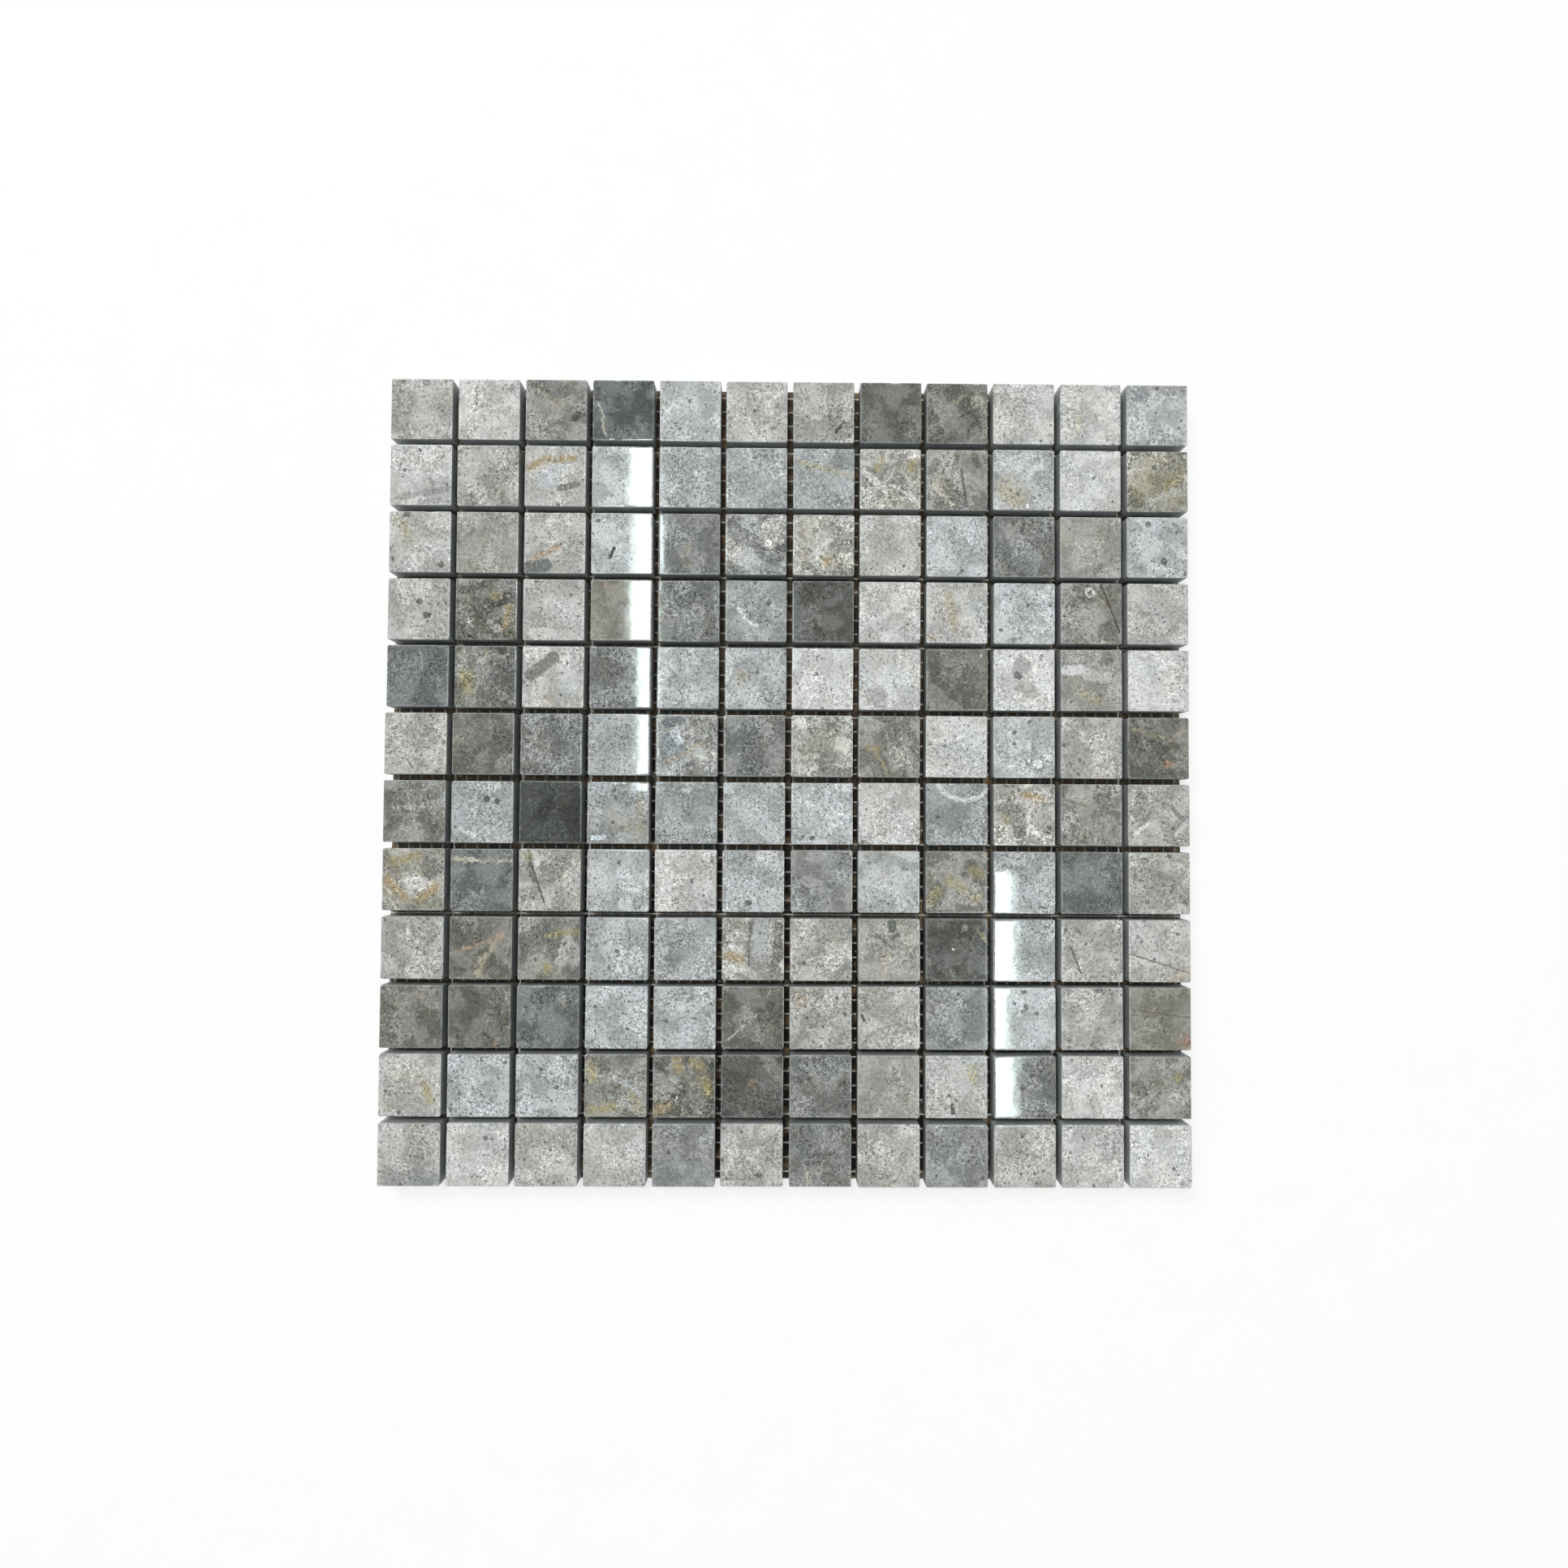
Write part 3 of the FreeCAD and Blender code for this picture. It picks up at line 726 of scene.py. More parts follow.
# The chips' marks, by row and column. A place on a chip is in millimetres from its middle.
MARKS = {
    (1, 2): [spot(-8.7, -8.0, 1.2, OCHRE, 0.35), spot(8.5, 8.0, 1.4, SMOKE, 0.5)],
    (1, 3): [streak((6.9, -2.9), (7.8, -1.7), 1.2, INK, 0.9), spot(0.5, 2.0, 2.4, OCHRE, 0.5),
             streak((-6.0, -7.0), (3.0, -9.0), 0.8, SOOT, 0.5),
             streak((-8.0, 8.0), (-2.0, 3.0), 0.3, SAND, 0.5)],
    (1, 4): [streak((-7.8, -3.5), (-6.6, -9.5), 0.4, CREAM, 1.0),
             streak((-9.5, 3.0), (-7.0, -3.0), 0.25, CREAM, 0.8), spot(2.0, 3.0, 3.0, (84, 88, 92), 0.4)],
    (1, 7): [streak((4.5, -7.5), (6.0, -5.5), 0.5, INK, 1.0),
             streak((6.0, -5.5), (7.5, -3.5), 0.35, INK, 0.9)],
    (1, 9): [streak((1.5, -1.2), (7.0, 1.5), 0.4, INK, 0.8), spot(7.5, 5.0, 1.8, CREAM, 0.7),
             spot(-6.5, -7.0, 1.3, INK, 0.6), streak((-3.0, 3.0), (3.0, 7.0), 0.5, SAND, 0.6)],
    (1, 11): [streak((-5.0, -5.0), (-4.0, -1.0), 1.5, (190, 184, 150), 0.5)],
    (1, 12): [spot(-5.5, 7.5, 3.0, (142, 144, 150), 0.85),
              streak((-3.5, -9.0), (-5.0, 1.0), 0.4, WHITE, 0.7),
              streak((-5.0, 1.0), (-10.0, 6.0), 0.35, WHITE, 0.6),
              streak((-5.0, 1.0), (3.0, 6.0), 0.35, WHITE, 0.5)],
    (2, 1): [streak((-8.0, -8.5), (11.0, -5.0), 1.1, SMOKE, 0.5)],
    (2, 2): [streak((6.0, 6.0), (11.0, 5.5), 1.1, SMOKE, 0.5)],
    (2, 3): [streak((-10.0, 3.0), (-3.5, 6.5), 1.1, GOLD, 1.0),
             streak((-1.5, 6.0), (7.0, 7.0), 1.1, GOLD, 1.0),
             streak((-4.0, -2.5), (0.0, 1.5), 2.6, SKY, 0.7),
             streak((2.0, -4.5), (8.0, -3.0), 1.2, SOOT, 0.7)],
    (2, 7): [streak((-9.5, 6.5), (10.5, 1.0), 0.6, (174, 170, 134), 0.8)],
    (2, 8): [streak((-3.0, 8.0), (-4.5, 4.0), 0.8, YOLK, 1.0),
             streak((8.5, 6.5), (7.5, 3.0), 0.9, YOLK, 0.9),
             streak((-9.0, 2.0), (-2.0, -4.0), 1.3, CHALK, 0.5),
             streak((0.0, -2.0), (9.0, -7.0), 0.5, CHALK, 0.4)],
    (2, 9): [streak((-8.5, -2.5), (-1.5, -9.5), 0.5, CREAM, 1.0),
             streak((1.5, 4.0), (3.5, -9.5), 0.4, SOOT, 0.9),
             streak((7.0, 7.5), (8.0, 5.5), 1.3, SOOT, 0.8), spot(-7.5, -1.0, 1.5, CREAM, 0.8)],
    (2, 10): [streak((-6.5, -3.5), (-3.0, -7.0), 4.2, (184, 177, 158), 0.95),
              streak((2.0, 1.0), (4.5, 5.0), 0.9, WHITE, 0.8), spot(1.5, -9.8, 0.9, CHALK, 0.9)],
    (2, 12): [spot(-5.0, -1.0, 4.6, YOLK, 0.5), streak((4.0, -1.5), (9.0, 2.0), 1.9, YOLK, 0.65),
              streak((2.0, -9.5), (10.0, -7.0), 2.6, (146, 142, 122), 0.8),
              streak((-8.0, 6.0), (4.0, 8.0), 1.6, OCHRE, 0.5)],
    (3, 1): [streak((-8.0, 8.0), (-4.0, 2.0), 1.7, YOLK, 0.55), spot(-5.0, 10.3, 1.2, SOOT, 0.8),
             spot(8.0, -8.5, 1.2, SOOT, 0.8)],
    (3, 2): [spot(6.0, 7.0, 3.0, (148, 148, 150), 0.45)],
    (3, 3): [streak((-7.5, -5.5), (2.0, -1.0), 0.7, (180, 150, 122), 0.9),
             streak((-9.5, -9.5), (-3.5, -8.5), 2.5, (96, 102, 100))],
    (3, 4): [streak((-4.2, -5.2), (-3.0, -1.9), 0.6, INK, 1.0)],
    (3, 5): [spot(-0.3, -2.2, 0.9, OCHRE), spot(0.0, -7.5, 0.9, OCHRE)],
    (3, 6): [spot(4.5, 0.7, 1.6, WHITE, 1.0), streak((-9.0, 8.0), (-3.0, 4.0), 1.2, SOOT, 0.5),
             streak((2.0, -9.0), (9.0, -5.0), 1.4, SOOT, 0.4)],
    (3, 7): [spot(1.5, -6.0, 1.9, GOLD, 0.95), spot(-7.5, -4.5, 1.8, SAND, 0.9),
             streak((5.0, 0.0), (8.0, -1.0), 2.3, (122, 126, 122), 0.75),
             streak((-7.0, 7.0), (-5.5, 1.0), 1.8, CREAM, 0.7)],
    (3, 12): [spot(-3.4, 8.6, 1.0, SOOT, 0.9), spot(2.5, -5.2, 1.3, SOOT, 0.9),
              streak((6.0, 9.0), (9.0, 6.0), 0.7, SOOT, 0.5)],
    (4, 1): [spot(0.1, 2.8, 1.0, SOOT, 1.0), streak((2.4, -2.2), (3.6, -2.2), 1.0, SOOT, 1.0)],
    (4, 2): [streak((8.5, 1.0), (7.0, -7.0), 0.9, GOLD), spot(3.0, 5.0, 1.4, YOLK, 0.8),
             spot(4.0, -7.0, 1.6, (176, 176, 170), 0.7), streak((-9.0, 7.0), (-1.0, 9.0), 1.4, INK, 0.5)],
    (4, 4): [spot(-5.5, 9.5, 0.9, RUST, 0.7), streak((1.0, -4.0), (6.0, -9.0), 0.3, SAND, 0.4)],
    (4, 5): [streak((0.0, 5.0), (8.0, 9.0), 1.2, SOOT, 0.4),
             streak((-8.0, 4.0), (2.0, 9.0), 0.2, SKY, 0.35)],
    (4, 6): [streak((-6.7, 1.2), (-3.4, -3.8), 0.55, WHITE, 0.95),
             streak((-3.4, -3.8), (0.3, -5.4), 0.45, WHITE, 0.95)],
    (4, 9): [streak((-3.0, 6.0), (-1.0, -5.0), 1.7, SAND, 1.0), spot(-9.5, -9.0, 1.1, GOLD, 0.8),
             spot(7.0, 2.0, 3.0, SKY, 0.5), streak((-9.5, 5.0), (-8.5, -3.0), 1.0, CREAM, 0.6)],
    (4, 10): [spot(-4.0, -10.0, 1.0, SMOKE)],
    (4, 11): [streak((3.7, 10.5), (7.0, 2.5), 0.35, (80, 74, 62), 1.0),
              streak((7.0, 2.5), (10.4, -7.0), 0.35, (80, 74, 62), 0.9),
              shell(-0.5, 7.7, 1.4, 0.4, WHITE, 0.7),
              streak((8.0, 9.0), (9.5, 3.0), 2.2, (124, 122, 114), 0.7)],
    (5, 2): [streak((-7.5, 1.0), (-6.5, -5.0), 2.2, YOLK, 0.65), spot(-8.5, 8.0, 1.5, CREAM, 0.7),
             streak((1.0, -6.0), (8.0, 1.0), 4.5, SOOT, 0.6), spot(0.5, 8.0, 1.2, YOLK, 0.5)],
    (5, 3): [streak((-8.2, 0.6), (0.0, 7.4), 2.3, (124, 126, 122), 0.95),
             spot(-1.0, -8.5, 2.2, SAND, 0.7), spot(5.0, -3.0, 3.0, SKY, 0.5)],
    (5, 6): [spot(-4.8, 0.8, 2.3, SAND)],
    (5, 9): [streak((4.0, 6.0), (3.0, 1.0), 0.3, INK, 0.4), spot(9.0, 9.0, 0.6, WHITE, 0.5)],
    (5, 10): [spot(-2.3, 1.7, 1.5, SOOT, 0.8), spot(6.5, 9.0, 0.8, SMOKE)],
    (5, 11): [streak((-9.5, 3.6), (-4.0, 4.0), 1.8, (220, 220, 222)), spot(6.0, 8.0, 2.6, SOOT, 0.55),
              streak((-2.0, 2.6), (5.5, 0.8), 2.2, (200, 200, 198), 0.65),
              streak((-5.0, -4.0), (3.0, -8.0), 1.2, OCHRE, 0.7)],
    (6, 1): [streak((-3.0, -6.0), (-1.0, -9.0), 0.2, SOOT)],
    (6, 5): [streak((-7.5, 8.0), (-2.5, 9.0), 1.8, (104, 112, 118)),
             streak((-7.0, 1.5), (-3.5, -3.0), 3.0, (134, 145, 152), 0.75),
             streak((-8.0, -6.5), (6.0, 1.0), 0.6, SAND, 0.9),
             streak((-4.5, 4.0), (-2.5, 2.0), 1.7, (190, 198, 203))],
    (6, 8): [streak((-8.0, 0.0), (-4.0, -1.0), 0.6, GOLD),
             streak((-5.0, -2.0), (-1.0, -9.0), 0.6, OCHRE)],
    (6, 10): [shell(5.0, -6.3, 2.1, 0.3, SMOKE, 0.6), shell(5.0, -6.3, 1.3, 0.4, CHALK, 1.0),
              spot(5.0, -6.3, 0.9, (228, 230, 230), 0.9), spot(1.8, -5.0, 0.5, CHALK, 0.9)],
    (6, 12): [streak((-2.0, 2.0), (5.0, -4.0), 1.8, INK, 0.5), spot(4.0, -6.0, 1.3, RUST, 0.9),
              streak((-9.0, 7.0), (2.0, 4.0), 0.4, OCHRE, 0.8),
              streak((4.0, 3.0), (10.0, 7.0), 0.5, SAND, 0.6)],
    (7, 2): [spot(1.5, 4.8, 1.4, SOOT, 1.0), spot(5.6, 4.0, 1.1, SOOT, 1.0),
             streak((-8.0, -6.0), (-3.0, -9.0), 0.8, WHITE, 0.6),
             streak((3.0, 9.0), (6.0, 10.0), 1.2, WHITE, 0.5)],
    (7, 4): [streak((8.0, 5.0), (8.5, -5.0), 1.5, OCHRE, 0.6), spot(6.0, 9.5, 2.0, SKY, 0.7),
             streak((-9.3, -9.3), (-5.0, -9.0), 0.8, (206, 216, 222), 0.95),
             streak((-2.0, -2.0), (8.0, -8.0), 2.4, SAND, 0.5)],
    (7, 7): [spot(-3.6, -9.0, 0.9, INK, 0.85)],
    (7, 9): [shell(2.9, 16.4, 11.1, 0.75, (208, 214, 214), 0.95)],
    (7, 10): [streak((0.5, 7.5), (6.5, 5.5), 1.1, GOLD, 0.95), spot(-6.5, -1.5, 1.4, YOLK, 0.8),
              streak((5.5, 1.0), (6.5, -2.5), 3.2, (172, 172, 166), 0.8),
              streak((3.0, -6.5), (9.5, -8.0), 0.6, CHALK, 0.7)],
    (7, 12): [spot(-6.5, 7.0, 1.2, SOOT, 0.6), streak((5.0, 3.0), (8.0, -1.0), 0.8, SOOT, 0.6),
              streak((-9.0, -7.0), (-4.0, -3.0), 0.7, CHALK, 0.6),
              streak((6.0, -7.0), (10.0, -3.0), 0.9, CHALK, 0.4)],
    (8, 1): [streak((-0.5, -0.8), (4.5, -2.2), 2.6, (208, 207, 202)),
             streak((-9.5, 0.0), (-3.0, -6.5), 1.5, GOLD, 0.95),
             streak((2.0, -7.5), (8.0, -3.0), 1.5, GOLD, 0.95),
             streak((-8.0, 6.5), (2.0, 8.5), 1.3, YOLK, 0.8)],
    (8, 2): [streak((-10.5, 8.0), (-3.0, 7.2), 0.55, CREAM, 0.95),
             streak((-3.0, 7.2), (10.5, 7.0), 0.4, CREAM, 0.8)],
    (8, 3): [streak((-7.5, 8.0), (-2.0, -8.0), 0.35, INK), spot(-7.8, 9.0, 1.6, (128, 128, 84), 0.95),
             streak((-7.5, 6.0), (-5.5, 0.0), 0.8, SOOT, 0.7), spot(6.5, 0.0, 1.8, CREAM, 0.6)],
    (8, 6): [spot(-1.8, -8.0, 1.2, SOOT, 0.85)],
    (8, 9): [streak((-2.0, 0.5), (2.0, -2.0), 1.8, YOLK, 0.75),
             streak((6.0, 4.0), (9.5, 3.0), 1.6, YOLK, 0.75), spot(7.5, -5.5, 1.6, YOLK),
             streak((-10.0, -7.0), (-7.0, -3.0), 1.6, YOLK, 0.65)],
    (8, 10): [spot(-7.5, 6.0, 1.2, SMOKE), streak((6.0, -8.5), (8.0, -9.5), 0.3, INK, 0.8)],
    (9, 2): [streak((-10.0, -1.5), (8.0, 4.0), 0.5, (172, 149, 126), 0.9),
             spot(8.0, 4.5, 1.3, (180, 156, 136), 0.9),
             streak((-0.8, -9.5), (0.5, -4.5), 1.3, SAND, 0.95),
             streak((0.5, -4.5), (5.0, 1.0), 0.7, SAND, 0.9)],
    (9, 3): [streak((4.2, -5.0), (7.0, 3.0), 2.0, (178, 178, 172), 0.8), spot(-0.6, -7.5, 1.5, YOLK, 0.9),
             streak((0.0, 5.0), (10.0, 6.5), 1.0, YOLK, 0.7), spot(-1.0, 7.0, 1.8, SOOT, 0.7)],
    (9, 6): [streak((-8.5, -2.5), (-4.0, -4.0), 1.5, GOLD, 0.95),
             streak((-1.0, 10.0), (-1.6, -6.0), 0.35, SOOT, 0.7),
             streak((3.5, 8.0), (3.0, 0.0), 3.6, (176, 180, 182), 0.75),
             streak((9.5, 8.0), (8.0, -6.0), 1.6, SOOT, 0.6)],
    (9, 8): [streak((0.8, 9.8), (1.2, 8.0), 1.7, (96, 101, 95), 0.95),
             streak((1.0, 4.4), (3.0, 5.6), 0.8, SOOT, 0.7),
             streak((-4.8, 6.0), (1.0, 0.5), 0.35, SOOT, 0.7),
             streak((-1.0, -2.0), (-3.0, -9.5), 1.5, SAND, 0.7)],
    (9, 9): [spot(-1.3, 0.3, 0.4, CHALK, 1.0), spot(3.0, 8.0, 1.2, (150, 150, 146), 0.7),
             streak((7.0, 8.0), (10.5, 4.0), 0.5, OCHRE, 0.7)],
    (9, 11): [streak((-8.0, 1.5), (-4.0, -8.5), 0.3, SOOT), spot(-5.5, 7.5, 1.1, SMOKE)],
    (9, 12): [streak((-11.0, -1.0), (11.0, -8.0), 0.25, (122, 112, 102)),
              streak((5.0, -9.5), (11.0, -8.5), 1.0, (196, 172, 142), 0.5)],
    (10, 1): [spot(2.5, 6.5, 0.7, RUST, 0.5)],
    (10, 2): [spot(6.0, -9.7, 0.8, RUST)],
    (10, 3): [spot(5.6, 6.0, 1.1, CREAM, 0.5)],
    (10, 6): [streak((-9.0, -8.0), (1.5, 1.0), 0.3, (174, 172, 164))],
    (10, 7): [shell(-7.0, 6.3, 1.6, 0.5, (160, 140, 112))],
    (10, 8): [streak((-8.5, 6.5), (-8.0, 3.5), 1.2, SMOKE, 0.6),
              streak((-10.0, 1.0), (-9.0, -1.0), 0.4, INK, 0.9),
              streak((-3.0, -4.0), (4.0, -2.0), 0.35, SMOKE, 0.6)],
    (10, 10): [spot(0.5, 4.4, 1.0, SOOT, 0.8), spot(4.2, 1.9, 0.9, SOOT, 0.8)],
    (10, 11): [streak((2.0, 10.4), (4.5, 10.4), 1.0, SOOT, 0.7)],
    (10, 12): [spot(9.8, -8.0, 2.6, (148, 108, 88), 0.7),
               streak((-8.0, 3.0), (11.0, 0.5), 0.25, BROWN, 0.5)],
    (11, 1): [streak((5.5, 0.5), (7.5, -5.0), 1.3, YOLK, 0.9),
              streak((-8.0, 5.0), (3.0, 3.0), 2.0, CREAM, 0.5), spot(-7.0, -8.0, 1.4, OCHRE, 0.6)],
    (11, 4): [streak((-9.5, 7.5), (-8.5, 3.0), 1.4, YOLK, 0.9),
              streak((-9.0, -9.0), (-1.0, -7.5), 1.5, YOLK),
              streak((0.0, 3.0), (9.0, -3.0), 1.0, SKY, 0.5),
              streak((6.0, -3.0), (9.0, -9.0), 1.5, OCHRE)],
    (11, 5): [streak((-2.5, 9.5), (-1.5, 6.0), 1.3, GOLD, 1.0), streak((3.5, 9.0), (6.5, 7.0), 1.4, YOLK),
              streak((8.0, 2.0), (8.8, -2.0), 1.5, YOLK),
              streak((-10.0, -8.8), (-6.0, -7.0), 1.5, GOLD, 0.9)],
    (11, 6): [spot(0.5, 0.6, 1.7, (136, 112, 88), 0.6),
              streak((5.0, 10.0), (10.0, 4.0), 2.6, (138, 137, 132), 0.7),
              streak((-7.0, 8.0), (1.0, 9.0), 2.6, (92, 91, 87), 0.7),
              streak((-6.0, -2.0), (4.0, -6.0), 4.0, (92, 91, 87), 0.75)],
    (11, 9): [streak((-1.8, -6.5), (-1.2, -9.5), 0.7, SOOT, 1.0),
              streak((5.0, 9.0), (6.5, 3.0), 1.4, (184, 178, 132), 0.8),
              spot(-3.0, -5.5, 1.1, WHITE, 0.8), streak((3.0, 8.5), (8.0, 10.0), 1.5, SKY, 0.6)],
    (11, 12): [shell(4.8, -3.5, 1.3, 0.4, (190, 190, 182), 0.9), spot(6.6, 3.4, 1.4, YOLK, 0.7),
               spot(8.5, -5.5, 0.8, (186, 186, 178), 0.9),
               shell(-2.0, -4.0, 1.6, 0.3, (166, 166, 158), 0.7)],
    (12, 1): [streak((-6.0, -9.5), (10.0, -9.5), 3.6, (130, 134, 142), 0.5),
              spot(-6.0, 7.0, 2.0, OCHRE, 0.25)],
    (12, 2): [spot(3.0, 6.0, 0.8, SOOT), spot(5.5, 5.5, 0.7, SOOT)],
    (12, 6): [spot(2.6, -7.4, 1.1, SOOT, 0.9)],
    (12, 7): [streak((-5.0, -6.0), (-4.0, -10.0), 0.5, SAND)],
    (12, 9): [streak((8.0, 2.0), (9.5, -3.0), 0.3, SKY, 0.5)],
    (12, 11): [streak((0.0, 2.0), (3.0, -5.0), 0.5, WHITE, 0.5)],
}
NO_MARK = ((0.0, 0.0, 0.0), (0.0, 0.0, 0.0), (0.0, 0.0, 0.0), (0.0, 0.0, 0.0, 1.0))

laid = {}
for *figures, addresses in STONES.values():
    for address in addresses.split():
        row, column = map(int, address.split("-"))
        laid[row, column] = figures


def grey(tone, warmth):
    """A grey as this stone has it: warmer or colder than neutral, and a trace green, the
    more so the darker and the warmer it is."""
    green = 1 + (150 - tone) / 60 + max(warmth, 0) / 8
    return linear(tone + warmth / 2 - 1, tone + green, tone - warmth / 2 - 1)


# The upper rows have slipped a little to the right on the net. Where a chip mirrors a tube
# lamp, its lean to the right, in degrees, sets how far that reflection is out of line.
LAST_SLIPPED_ROW = 5
SLIP = 0.35 * MM
LEANING = {(2, 4): 0.14, (4, 4): 0.13, (3, 4): 0.0, (5, 4): -0.15, (6, 4): -0.2, (7, 4): -0.2,
           (2, 5): 0.15, (3, 5): 0.03, (4, 5): 0.15, (5, 5): 0.18, (6, 5): 0.2, (7, 5): 0.2,
           (8, 9): -0.05, (9, 9): -0.05, (10, 9): 0.0, (11, 9): -0.08,
           (8, 10): 0.05, (9, 10): -0.03, (10, 10): 0.2, (11, 10): -0.05}
LIGHT_CLOUD, DARK_CLOUD = 0.4, 0.6
DARKER_CUT, LIGHTER_CUT = 0.98, 1.02
FARTHEST_CUT = 900
ACROSS_SLANT, UP_SLANT = 0.8, 0.6
LAYER_KINDS = {1: ("FLOAT", "value"), 3: ("FLOAT_VECTOR", "vector"), 4: ("FLOAT_COLOR", "color")}


def paint(layers, name, values):
    """Adds values, point by point, to what the row of chips carries under this name."""
    layers.setdefault(name, []).extend(values)


rng = random.Random(7)
for row in range(1, CHIPS + 1):
    node = f"chip_row_{row:02d}"
    low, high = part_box(node)
    meshes, layers = [], {}
    for column in range(1, CHIPS + 1):
        points, faces, polished, worn_and_highlit = chip(rng)
        tone, warmth, spread, grit_here, habit_here = laid[row, column]
        tone *= rng.uniform(DARKER_CUT, LIGHTER_CUT)
        cut = Vector([rng.uniform(-FARTHEST_CUT, FARTHEST_CUT) for _ in range(3)])
        middle = Vector((low.x + (column - 0.5) * CHIP_PITCH - JOINT / 2, (low.y + high.y) / 2,
                         CHIP_FOOT))
        middle += Vector([rng.uniform(-1, 1) * LARGEST_SHIFT for _ in range(2)] + [0.0])
        middle.x = min(max(middle.x, -OUTERMOST), OUTERMOST)
        middle.y = min(max(middle.y, -OUTERMOST), OUTERMOST)
        outer = row in (1, CHIPS) or column in (1, CHIPS)
        lean = Vector((rng.uniform(-1, 1), rng.uniform(-1, 1))) * LARGEST_TILT
        if (row, column) in LEANING:
            lean.y = math.radians(LEANING[row, column])
        turn = Euler((*lean, rng.uniform(-1, 1) * (OUTER_TURN if outer else LARGEST_TURN)))
        turn = turn.to_matrix()
        if row <= LAST_SLIPPED_ROW:
            middle.x += SLIP * (CHIPS - column) / (CHIPS - 1)
        meshes.append(([middle + turn @ point for point in points], faces))
        for point in points:
            x, y, z = point / MM
            paint(layers, "on_chip", (x, y, 0.0))
            paint(layers, "stone_place",
                  (x + ACROSS_SLANT * z + cut.x, y + UP_SLANT * z + cut.y, 0.0))
        paint(layers, "polish", polished)
        paint(layers, "wear", worn_and_highlit)
        paint(layers, "ground", grey(tone + spread * LIGHT_CLOUD, warmth) * len(points))
        paint(layers, "cloud", grey(tone - spread * DARK_CLOUD, warmth + 1) * len(points))
        paint(layers, "grit", grit_here * len(points))
        paint(layers, "habit", habit_here * len(points))
        marks = (MARKS.get((row, column), []) + [NO_MARK] * MOST_MARKS)[:MOST_MARKS]
        for number, (start, end, shape, tint) in enumerate(marks, start=1):
            paint(layers, f"mark{number}_start", start * len(points))
            paint(layers, f"mark{number}_end", end * len(points))
            paint(layers, f"mark{number}_shape", shape * len(points))
            paint(layers, f"mark{number}_tint", tint * len(points))
    chips = piece(f"stone_chips_row_{row:02d}", *gather(meshes), polished_stone)
    for name, values in layers.items():
        kind, channel = LAYER_KINDS[len(values) // len(chips.data.vertices)]
        chips.data.attributes.new(name, kind, "POINT").data.foreach_set(channel, values)
    for face in chips.data.polygons:
        face.use_smooth = len(face.vertices) == 4
    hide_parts(node)
    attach(chips, "root")

# The floor the sheet lies on: a plain white studio floor, a hair below the net. What the
# camera sees of it is a third its lit colour and the rest plain white, so it stays white
# and keeps the sheet's shadow.
FLOOR_HALF = 3.0
FLOOR_DROP = 0.02 * MM
PLAIN_WHITE = 0.65
corners = [Vector((x * FLOOR_HALF, y * FLOOR_HALF, 0.0))
           for x, y in ((-1, -1), (1, -1), (1, 1), (-1, 1))]
floor_paint, shader, wire = finish("studio_floor_white", Roughness=0.9, IOR=1.2)
tooth = wire.node("ShaderNodeTexCoord", out="Object").noise(scale=60.0)
lay(shader, Base_Color=tooth.ramp((0.0, (0.94, 0.94, 0.94, 1)), (1.0, (0.97, 0.97, 0.97, 1))))
lit = Wire(wire.tree, shader.outputs["BSDF"])
white = wire.node("ShaderNodeEmission", {}, {"Color": (1, 1, 1, 1), "Strength": 1.0})
seen = wire.node("ShaderNodeLightPath", out="Is Camera Ray")
shown = wire.node("ShaderNodeMixShader", {}, {0: seen * PLAIN_WHITE, 1: lit, 2: white})
wire.tree.links.new(shown.socket, wire.tree.nodes["Material Output"].inputs["Surface"])
floor = piece("studio_floor", corners, [(0, 1, 2, 3)], floor_paint)
floor.location.z = -FLOOR_DROP

# Light: an even room, two soft lamps above and to the left, and two tube lamps overhead,
# which are what the polished faces mirror. The walls look white, the ceiling grey.
ROOM_STRENGTH = 0.36
CEILING_STARTS, CEILING_FULL = 0.6, 0.85
LAMP_COLOUR, TUBE_COLOUR = (1.0, 0.985, 0.975), (0.82, 1.0, 0.98)
TUBE_HEIGHT = 1.51
world = bpy.data.worlds.new("studio_room")
bpy.context.scene.world = world
world.use_nodes = True
background = world.node_tree.nodes["Background"]
background.inputs["Color"].default_value = (1.0, 1.0, 1.0, 1.0)
background.inputs["Strength"].default_value = ROOM_STRENGTH
room = Wire(world.node_tree, background.outputs["Background"])
walls = room.node("ShaderNodeBackground", {}, {"Color": (1, 1, 1, 1), "Strength": 1.0})
camera_ray, glossy_ray, clear_ray = [
    room.node("ShaderNodeLightPath", out=f"Is {kind} Ray")
    for kind in ("Camera", "Glossy", "Transmission")]
looked_at = (camera_ray + glossy_ray + clear_ray).math("MINIMUM", 1.0)
up = room.node("ShaderNodeTexCoord", out="Generated").part(2)
below_ceiling = up.step(CEILING_STARTS, CEILING_FULL, 1.0, 0.0)
room = room.node("ShaderNodeMixShader", {}, {0: looked_at * below_ceiling, 1: room, 2: walls})
world.node_tree.links.new(room.socket, world.node_tree.nodes["World Output"].inputs["Surface"])


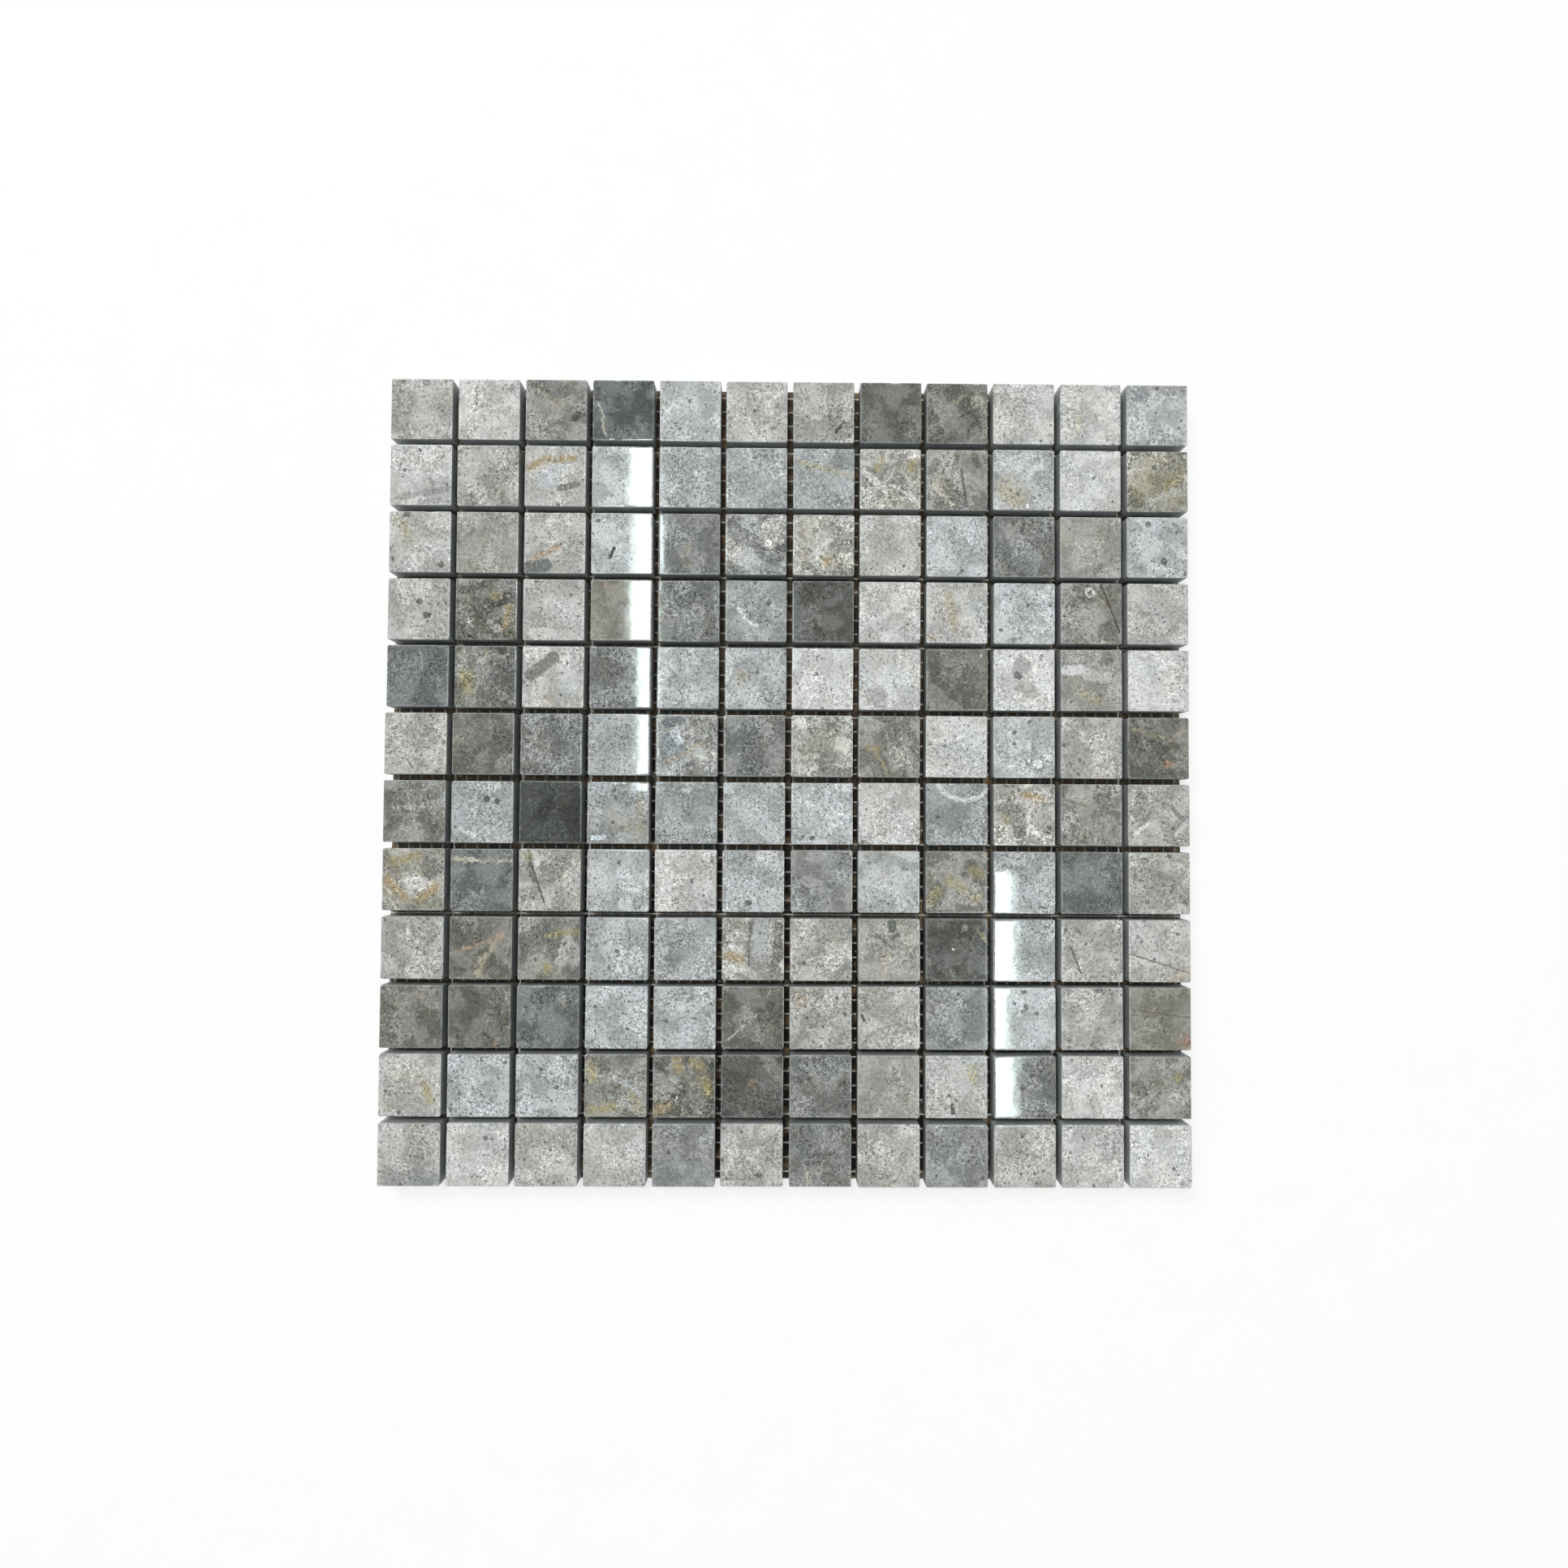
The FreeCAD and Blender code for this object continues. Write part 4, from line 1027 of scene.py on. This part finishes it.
def lamp(name, place, rotation, width, length, power, colour):
    light = bpy.data.lights.new(name, "AREA")
    light.shape = "RECTANGLE"
    light.size, light.size_y = width, length
    light.energy = power
    light.color = colour
    made = bpy.data.objects.new(name, light)
    bpy.context.scene.collection.objects.link(made)
    made.location = place
    made.rotation_euler = rotation
    return made


def soft_lamp(name, place, side, power):
    """A square lamp that faces the middle of the sheet."""
    facing = (-Vector(place)).to_track_quat("-Z", "Y").to_euler()
    return lamp(name, place, facing, side, side, power, LAMP_COLOUR)


def tube_lamp(name, start, end, width, radiance):
    """A tube lamp that hangs level from start to end and shines straight down."""
    start, end = Vector((*start, TUBE_HEIGHT)), Vector((*end, TUBE_HEIGHT))
    length = (end - start).length
    turn = math.atan2(start.x - end.x, end.y - start.y)
    return lamp(name, (start + end) / 2, (0.0, 0.0, turn), width, length,
                radiance * math.pi * width * length, TUBE_COLOUR)


soft_lamp("soft_lamp", (-2.6, 3.8, 4.8), 2.0, 122.0)
high_lamp = soft_lamp("high_lamp", (-0.75, 1.7, 5.3), 1.5, 114.0)
high_lamp.visible_glossy = False
tube_lamp("tube_lamp_left", (-0.225, 0.638), (-0.225, 0.030), 0.050, 22.0)
tube_lamp("tube_lamp_left_glow", (-0.254, 0.638), (-0.254, 0.030), 0.008, 6.0)
tube_lamp("tube_lamp_right", (0.3885, -0.104), (0.3885, -0.538), 0.041, 22.0)
tube_lamp("tube_lamp_right_glow", (0.415, -0.104), (0.415, -0.538), 0.012, 6.0)

# Camera: a hand-held view from straight above, a little off the sheet's middle.
CAMERA_PLACE = (-0.0053, -0.0150, 0.4154)
CAMERA_TILT = (1.89, -0.55, 0.33)
camera = bpy.data.cameras.new("photo_view")
camera.sensor_width = 36.0
camera.lens = 25.18
camera.clip_start = 0.01
view = bpy.data.objects.new("photo_view", camera)
bpy.context.scene.collection.objects.link(view)
view.location = CAMERA_PLACE
view.rotation_euler = [math.radians(angle) for angle in CAMERA_TILT]
bpy.context.scene.camera = view
bpy.context.scene.view_settings.view_transform = "Standard"
